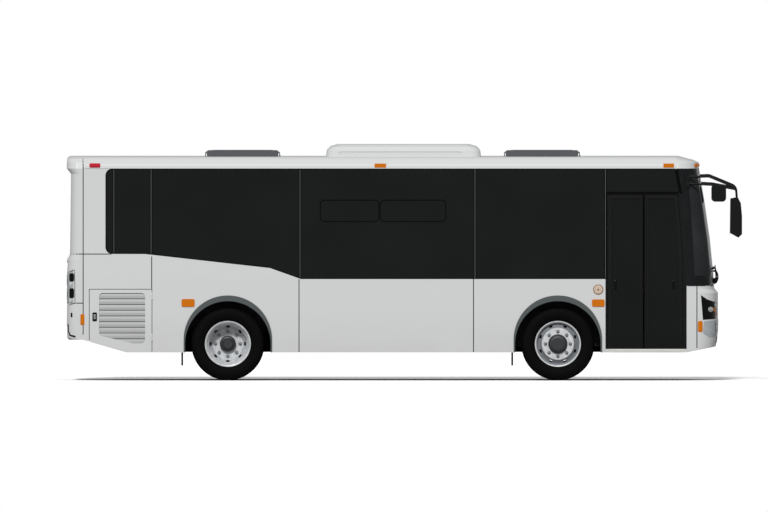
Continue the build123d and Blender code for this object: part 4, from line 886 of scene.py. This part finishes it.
print("nose")
bars = [("nose", "bead", [(-0.58, z), (0.58, z)], 0.010, 0.006) for z in (0.496, 0.524, 0.552)]
addDetails({
    "headlamp_projectors": (
        "reflector", "rim_silver", "root",
        ("nosePair", "button", (1.020, 0.985, 0.040), 0.0055, 0.003, 0.004),
        ("nosePair", "button", (0.890, 0.965, 0.036), 0.0055, 0.003, 0.004),
        ("sides", "button", (4.003, 0.929, 0.034, 28), 0.004, 0.003, 0.002)),
    "headlamp_turn_lamps": (
        "lampAmber", "lamp_amber", "root",
        ("nosePair", "button", (0.735, 0.830, 0.850, 0.905, 0.012), 0.004, 0.003),
        ("nosePair", "button", (0.775, 0.985, 0.030), 0.004, 0.003),
        ("sides", "button", (4.045, 4.062, 0.900, 0.955, 0.006), 0.004, 0.003)),
    "lamp_bezels": (
        "lampBlack", "mask_black", "root",
        ("nosePair", "button", (1.020, 0.985, 0.052), 0.004, 0.003),
        ("nosePair", "button", (0.890, 0.965, 0.048), 0.004, 0.003),
        ("sides", "bead", [(3.905, 0.862), (4.060, 0.862)], 0.008, 0.003),
        ("nosePair", "bead", (0.900, 0.690, 0.056), 0.012, 0.006)),
    "fog_lamp_lenses": (
        "reflector", "lamp_clear", "root",
        ("nosePair", "button", (0.900, 0.690, 0.045), 0.006, 0.004, 0.004)),
    "blank_plates": (
        "plateWhite", "body_white", "root",
        ("nose", "button", (-0.155, 0.155, 0.640, 0.795, 0.012), 0.004, 0.002),
        ("tail", "button", (-0.155, 0.155, 0.740, 0.895, 0.012), 0.002, 0.001)),
    "bumper_grille": (
        "lampBlack", "mask_black", "root",
        ("nose", "button", (-0.62, 0.62, 0.468, 0.580, 0.040), 0.003, 0.002)),
    "bumper_grille_bars": ("trimGrey", "mask_black", "root", *bars),
})

print("tail lamps")
# the two lamps' heights on the side, each with a pale three-cornered patch below it, a painted highlight
heights = ((1.292, 1.402), (1.076, 1.206))
corners = [[(-4.380, low - 0.070), (-4.328, low - 0.006), (-4.380, low - 0.006)] for low, _ in heights]
addDetails({
    "tail_lamp_lenses": (
        "lampRedDark", "lamp_red", "root",
        ("tailPair", "button", (1.050, 1.300, 0.060), 0.002, 0.001),
        ("tailPair", "button", (1.050, 1.120, 0.060), 0.002, 0.001)),
    # rings, side lamps, the line round the cluster, the cap below it, and a black strip along the bumper's
    # lower corner that is painted shade
    "tail_lamp_rims": (
        "lampBlack", "mask_black", "root",
        ("tailPair", "bead", (1.050, 1.300, 0.060), 0.010, 0.003),
        ("tailPair", "bead", (1.050, 1.120, 0.060), 0.010, 0.003),
        *[("sides", "button", (-4.380, -4.318, *span, 0.022), 0.003, 0.002) for span in heights],
        ("sides", "bead", [(-4.384, 1.418), (-4.312, 1.444), (-4.306, 1.010), (-4.384, 0.985)], 0.007, 0.003),
        ("sides", "button", (-4.362, -4.340, 0.826, 0.886, 0.0105), 0.003, 0.001),
        # black strip round the bumper's lower rear corner: painted shade, not a part
        ("sides", "bead", [(-4.394, 0.735), (-4.392, 0.640), (-4.372, 0.590), (-4.300, 0.572)],
         0.024, 0.003)),
    # pale three-cornered patches under the side lamps: painted highlights, not windows
    "tail_lamp_painted_highlights": (
        "plateWhite", "lamp_clear", "root", *[("sides", "button", loop, 0.0025, 0.001) for loop in corners]),
    "tail_lamp_reversing": (
        "reflector", "lamp_clear", "root",
        ("tailPair", "button", (1.06, 1.18, 1.020, 1.052, 0.012), 0.002, 0.001)),
    "engine_door_pull": (
        "lampBlack", "frame_black", "engine_flap",
        ("tail", "button", (-0.11, 0.11, 1.062, 1.092, 0.012), 0.003, 0.002)),
})

print("wipers")
wiper = {
    "arm": ((0.42, 1.31), (0.33, 1.46)), "armLift": 0.030, "armBow": 0.018, "armRadius": 0.009,
    "hookY": 0.47,
    "hook": [(4.035, 1.424), (4.074, 1.414), (4.095, 1.372), (4.096, 1.322), (4.078, 1.278), (4.046, 1.258)],
    "blade": ((0.03, 1.475), (0.66, 1.450)), "bladeLift": 0.012, "bladeRadius": 0.008,
    "spineLift": 0.022, "spineRadius": 0.006,
}
arms, blades = [], []
for side in (-1, 1):
    line = dense([(side * y, z) for y, z in wiper["arm"]], 0.05)
    base, out = frontEnd(line)
    lift = wiper["armLift"] + wiper["armBow"] * np.sin(np.linspace(0, math.pi, len(line)))[:, None]
    arms.append(tube(base + out * lift, wiper["armRadius"], 10))
    hook = smoothPath([(x, side * wiper["hookY"], z) for x, z in wiper["hook"]], 6)
    arms.append(tube(hook, wiper["armRadius"], 10))
    base, out = frontEnd(dense([(side * y, z) for y, z in wiper["blade"]], 0.05))
    blades.append(tube(base + out * wiper["bladeLift"], wiper["bladeRadius"], 8))
    arms.append(tube(base + out * wiper["spineLift"], wiper["spineRadius"], 8))
makePiece("wiper_arms", arms, "frameBlack", slot="frame_black")
makePiece("wiper_blades", blades, "sealRubber", slot="frame_black")

mirror = {"y": (1.238, 1.437), "panes": ((2.030, 2.345), (1.905, 2.005)), "corner": 0.022, "thick": 0.004,
          "x": 4.2535, "tilt": 0.005 / 0.430, "from": 1.930}
glass = []
for side in (-1, 1):
    for span in mirror["panes"]:
        y, z = roundedLoop(*onSide(side, *mirror["y"]), *span, mirror["corner"]).T
        x = mirror["x"] + mirror["tilt"] * (z - mirror["from"])
        glass.append(slab(np.stack([x, y, z], -1), (1, 0, 0), mirror["thick"]))
makePiece("mirror_glass", glass, "mirrorGlass", slot="rim_silver")

print("roof")
rail = ("sides", "bead", [(-4.180, 2.7745), (3.540, 2.7745)], 0.010, 0.006)
hatch = {"rear": (-2.606, -1.626), "front": (1.302, 2.295), "ribs": (-0.18, 0.0, 0.18), "ribHalf": 0.02,
         "ribThick": (0.005, 0.002), "inset": 0.09, "z": 2.9995}
addDetails({"drip_rails": ("roofEnamel", "body_white", "root", rail)})
for name in ("rear", "front"):
    x0, x1 = hatch[name][0] + hatch["inset"], hatch[name][1] - hatch["inset"]
    half = hatch["ribHalf"]
    ribs = [level(x0, x1, y - half, y + half, hatch["z"], *hatch["ribThick"]) for y in hatch["ribs"]]
    makePiece(f"hatch_ribs_{name}", ribs, "hatchGrey", f"hatch_{name}", "hatch_grey")

print("wheel wells")
# splash curtains and flap clamps about each axle, and the seal behind the radiator door's edges
well = {
    "curtainX": ((-0.570, -0.300), (0.300, 0.570)), "curtainY": 0.530, "curtainZ": (0.368, 0.640),
    "curtainThick": (0.006, 0.001),
    "clampX": (-0.609, -0.585), "clampY": 1.150, "clampZ": (0.197, 0.364), "clampThick": (0.024, 0.002),
    "sealY": -1.1785, "sealThick": 0.003,
    "seals": ((-3.320, -3.2975, 0.372, 1.196), (-4.1225, -4.100, 0.520, 1.196),
              (-4.122, -3.298, 1.182, 1.1955)),
}
curtains, clamps = [], []
for side in (-1, 1):
    for axle in (bus["frontAxleX"], bus["rearAxleX"]):
        for x0, x1 in well["curtainX"]:
            y, span = side * well["curtainY"], well["curtainZ"]
            curtains.append(upright(axle + x0, axle + x1, y, *span, side, *well["curtainThick"]))
        x0, x1 = well["clampX"]
        y, span = side * well["clampY"], well["clampZ"]
        clamps.append(upright(axle + x0, axle + x1, y, *span, side, *well["clampThick"]))
makePiece("splash_curtains", curtains, "sealRubber", slot="rubber_black")
makePiece("flap_clamps", clamps, "sealRubber", slot="rubber_black")
seals = [upright(x0, x1, well["sealY"], z0, z1, 1, well["sealThick"]) for x0, x1, z0, z1 in well["seals"]]
makePiece("radiator_door_seal", seals, "sealRubber", slot="rubber_black")

print("seats")
seat = {
    # each pair of rows as x, the height it stands on, and the leg's length
    "rows": [(-2.960, 0.860, 0.385), (-2.308, 1.053, 0.230), (-1.590, 0.860, 0.385), (-0.650, 0.500, 0.385),
             (0.150, 0.500, 0.385), (0.950, 0.500, 0.385)],
    "windowY": 0.945, "pitch": 0.436, "shellHalf": 0.205, "sag": 0.012, "thick": 0.014,
    "shell": [(0.205, 0.040), (0.10, 0.030), (-0.08, 0.032), (-0.165, 0.070), (-0.200, 0.25), (-0.222, 0.50),
              (-0.228, 0.660)],
    # a pad's size, its degrees about Y, its crown and its channels, and how far it is ahead and up
    "pad": ((0.335, 0.385, 0.060), -2, 0.012, 4), "padAt": (0.030, 0.066),
    "back": ((0.500, 0.375, 0.052), -85, 0.014, 5), "backAt": (-0.150, 0.370),
    "legRadius": 0.030, "footX": 0.10, "footY": 0.07, "footThick": (0.012, 0.003),
}
bench = {
    "x": -3.300, "z": 1.180, "places": 5, "firstY": -0.88, "pitch": 0.44, "width": 2.19,
    "pad": ((0.500, 0.425, 0.080), -2, 0.014, 5), "padAt": (-0.315, 0.405),
    "back": ((0.520, 0.425, 0.075), -82, 0.014, 5), "backAt": (-0.610, 0.700),
    "box": [(-0.065, 0.002), (-0.065, 0.365), (-0.560, 0.350), (-0.640, 0.960), (-0.695, 0.960),
            (-0.695, 0.002)],
}
driver = {
    "pads": [((3.190, 0.700, 1.035), (0.430, 0.460, 0.120), -3, 0.014, 4),
             ((2.955, 0.700, 1.360), (0.600, 0.450, 0.110), -80, 0.014, 5),
             ((2.900, 0.700, 1.640), (0.100, 0.250, 0.070), -84, 0.008)],
    "boxes": [(3.01, 3.23, 0.60, 0.80, 0.641, 0.33, 0.02), (2.93, 3.36, 0.49, 0.91, 0.955, 0.03, 0.01)],
}


def cushion(centre, size, degrees, crown, channels=0):
    # superellipsoid: x, y, z = half size times signed powers of cos and sin; its upper face stands higher by
    # the crown times (1 - x^2)(1 - y^2), shallow stitched channels run across it, the degrees turn it about Y
    around = np.linspace(0, fullTurn, 48, endpoint=False)
    u, v = np.meshgrid(around, np.linspace(-math.pi / 2, math.pi / 2, 25), indexing="ij")
    cu, su, cv, sv = (np.sign(w) * np.abs(w) ** 0.38 for w in (np.cos(u), np.sin(u), np.cos(v), np.sin(v)))
    x, y, z = cv * cu, cv * su, sv
    rise = crown * (1 - x ** 2) * (1 - y ** 2) * (z > 0)
    if channels:
        near = np.abs((x + 1) * channels / 2 % 1 - 0.5)
        rise = rise - 0.006 * np.exp(-(near / 0.10) ** 2) * (z > 0.3) * (1 - y ** 4)
    x, y, z = x * size[0] / 2, y * size[1] / 2, z * size[2] / 2 + rise
    c, s = math.cos(math.radians(degrees)), math.sin(math.radians(degrees))
    turned = np.stack([x * c + z * s, y, z * c - x * s], -1).reshape(-1, 3)
    return turned + centre, gridFaces(48, 25, True, False)


def pairOfPads(kind, x, y, z):
    # seat pad and back pad of one place
    places = [(kind[name], *kind[name + "At"]) for name in ("pad", "back")]
    return [cushion((x + ahead, y, z + up), *pad) for pad, ahead, up in places]


def seatShell(x, y, z):
    # the middle line of the section swept across the seat, its edges lifted by the fourth power of the
    # distance from the middle, and thick along the line's own normal
    line = smoothPath(seat["shell"], 4)
    way = tangentsOf(np.column_stack([line, np.zeros(len(line))]), False)
    thick = np.stack([way[:, 1], np.zeros(len(line)), -way[:, 0]], -1) * seat["thick"]
    edge = np.linspace(-seat["shellHalf"], seat["shellHalf"], 9)
    sag = seat["sag"] * (np.abs(edge) / seat["shellHalf"]) ** 4
    px, pz = line[:, :1], line[:, 1:]
    front = np.stack([x + px + sag, y + np.broadcast_to(edge, (len(line), 9)), z + pz + sag], -1)
    loop = np.concatenate([front, (front + thick[:, None])[:, ::-1]], 1)
    a = np.arange(8)
    cap = np.stack([a, a + 1, 16 - a, 17 - a], -1)
    faces = [gridFaces(len(line), 18, False, True), cap, cap[:, ::-1] + (len(line) - 1) * 18]
    return loop.reshape(-1, 3), np.concatenate(faces)


shells, pads, legs = [], [], []
for x, z, leg in seat["rows"]:
    top = z + leg
    for y in [side * (seat["windowY"] - index * seat["pitch"]) for side in (-1, 1) for index in (0, 1)]:
        shells.append(seatShell(x, y, top))
        pads += pairOfPads(seat, x, y, top)
        legs.append(tube([(x, y, z + 0.001), (x, y, top + 0.02)], seat["legRadius"], 16))
        footX, footY = seat["footX"], seat["footY"]
        legs.append(level(x - footX, x + footX, y - footY, y + footY, z, *seat["footThick"]))
makePiece("seat_shells", shells, "seatShell", slot="desk_grey", replaces=("passenger_seats",))
makePiece("seat_legs", legs, "chassisPaint", slot="chassis_black")
for index in range(bench["places"]):
    pads += pairOfPads(bench, bench["x"], bench["firstY"] + index * bench["pitch"], bench["z"])
seatPads = makePiece("seat_cushions", pads, "seatMoquette", slot="seat_blue")
box = [(bench["x"] + x, -bench["width"] / 2, bench["z"] + z) for x, z in bench["box"]]
makePiece("rear_bench_box", [slab(box, (0, 1, 0), bench["width"], 0.006)], "seatShell", slot="desk_grey")

pads = [cushion(*pad) for pad in driver["pads"]]
driverPads = makePiece("driver_cushions", pads, "seatMoquette", slot="seat_blue", replaces=("driver_seat",))
boxes = [level(*box) for box in driver["boxes"]]
makePiece("driver_seat_base", boxes, "chassisPaint", slot="chassis_black")

print("stage")
view = {"width": 10.04, "centreX": -0.267, "centreZ": 1.618, "distance": 30.0, "elevation": 0.45}
studio = {"sky": 0.40, "sun": 2.30, "sunAngle": 8, "sunElevation": 34, "sunTurn": -8, "bounce": 0.35,
          "floorWhite": 1.40, "floorDark": 0.35, "shade": (0.10, 0.50), "shadeReach": 3.0}


def backgroundSeen(tree):
    # 1 for rays from the camera, straight or through glass, and 0 for the light that falls on things
    rays = addNode(tree, "ShaderNodeLightPath")
    links = {0: (rays, "Is Camera Ray"), 1: (rays, "Is Transmission Ray")}
    return addNode(tree, "ShaderNodeMath", {"operation": "MAXIMUM"}, links)


world = bpy.data.worlds.new("studio")
bpy.context.scene.world = world
world.use_nodes = True
sky = world.node_tree
sky.nodes.clear()
plain = addNode(sky, "ShaderNodeBackground", {"Color": (1, 1, 1, 1), "Strength": studio["sky"]})
white = addNode(sky, "ShaderNodeBackground", {"Color": (1, 1, 1, 1), "Strength": 1.0})
links = {0: (backgroundSeen(sky), "Value"), 1: (plain, "Background"), 2: (white, "Background")}
both = addNode(sky, "ShaderNodeMixShader", None, links)
addNode(sky, "ShaderNodeOutputWorld", None, {"Surface": (both, "Shader")})

sun = bpy.data.objects.new("softSun", bpy.data.lights.new("softSun", "SUN"))
sun.data.energy = studio["sun"]
sun.data.angle = math.radians(studio["sunAngle"])
sun.rotation_euler = (math.radians(90 - studio["sunElevation"]), 0, math.radians(studio["sunTurn"]))
bpy.context.scene.collection.objects.link(sun)

floorMesh = bpy.data.meshes.new("studio_floor")
floorMesh.from_pydata([(-90, -90, 0), (90, -90, 0), (90, 90, 0), (-90, 90, 0)], [], [(0, 1, 2, 3)])
floorMesh.update()
floor = bpy.data.objects.new("studio_floor", floorMesh)
bpy.context.scene.collection.objects.link(floor)
# matt studio paper: white where it is seen, greyer in the light that it throws back
material, tree = startMaterial()
material.name = "studioPaper"
tree.nodes.remove(tree.nodes["Principled BSDF"])
# under the bus, where little of the sky is open above, ambient occlusion darkens the paper's colour: painted
# shade on top of the real shadow
skyOpen = addNode(tree, "ShaderNodeAmbientOcclusion", {"samples": 16, "Distance": studio["shadeReach"]})
low, high = studio["shade"]
fall = {"From Min": low, "From Max": high, "To Min": studio["floorDark"], "To Max": studio["floorWhite"]}
tone = addNode(tree, "ShaderNodeMapRange", fall, {"Value": (skyOpen, "AO")})
near = addNode(tree, "ShaderNodeBsdfDiffuse", None, {"Color": (tone, "Result")})
far = addNode(tree, "ShaderNodeBsdfDiffuse", {"Color": (studio["bounce"],) * 3 + (1,)})
links = {0: (backgroundSeen(tree), "Value"), 1: (far, "BSDF"), 2: (near, "BSDF")}
paper = addNode(tree, "ShaderNodeMixShader", None, links)
tree.links.new(paper.outputs["Shader"], tree.nodes["Material Output"].inputs["Surface"])
floorMesh.materials.append(material)

camera = bpy.data.objects.new("camera", bpy.data.cameras.new("camera"))
camera.data.type = "ORTHO"
camera.data.ortho_scale = view["width"]
camera.data.clip_end = 200
bpy.context.scene.collection.objects.link(camera)
tilt, away = math.radians(view["elevation"]), view["distance"]
camera.location = (view["centreX"], -away * math.cos(tilt), view["centreZ"] + away * math.sin(tilt))
camera.rotation_euler = (math.radians(90) - tilt, 0, 0)
bpy.context.scene.camera = camera
bpy.context.scene.view_settings.view_transform = "Standard"
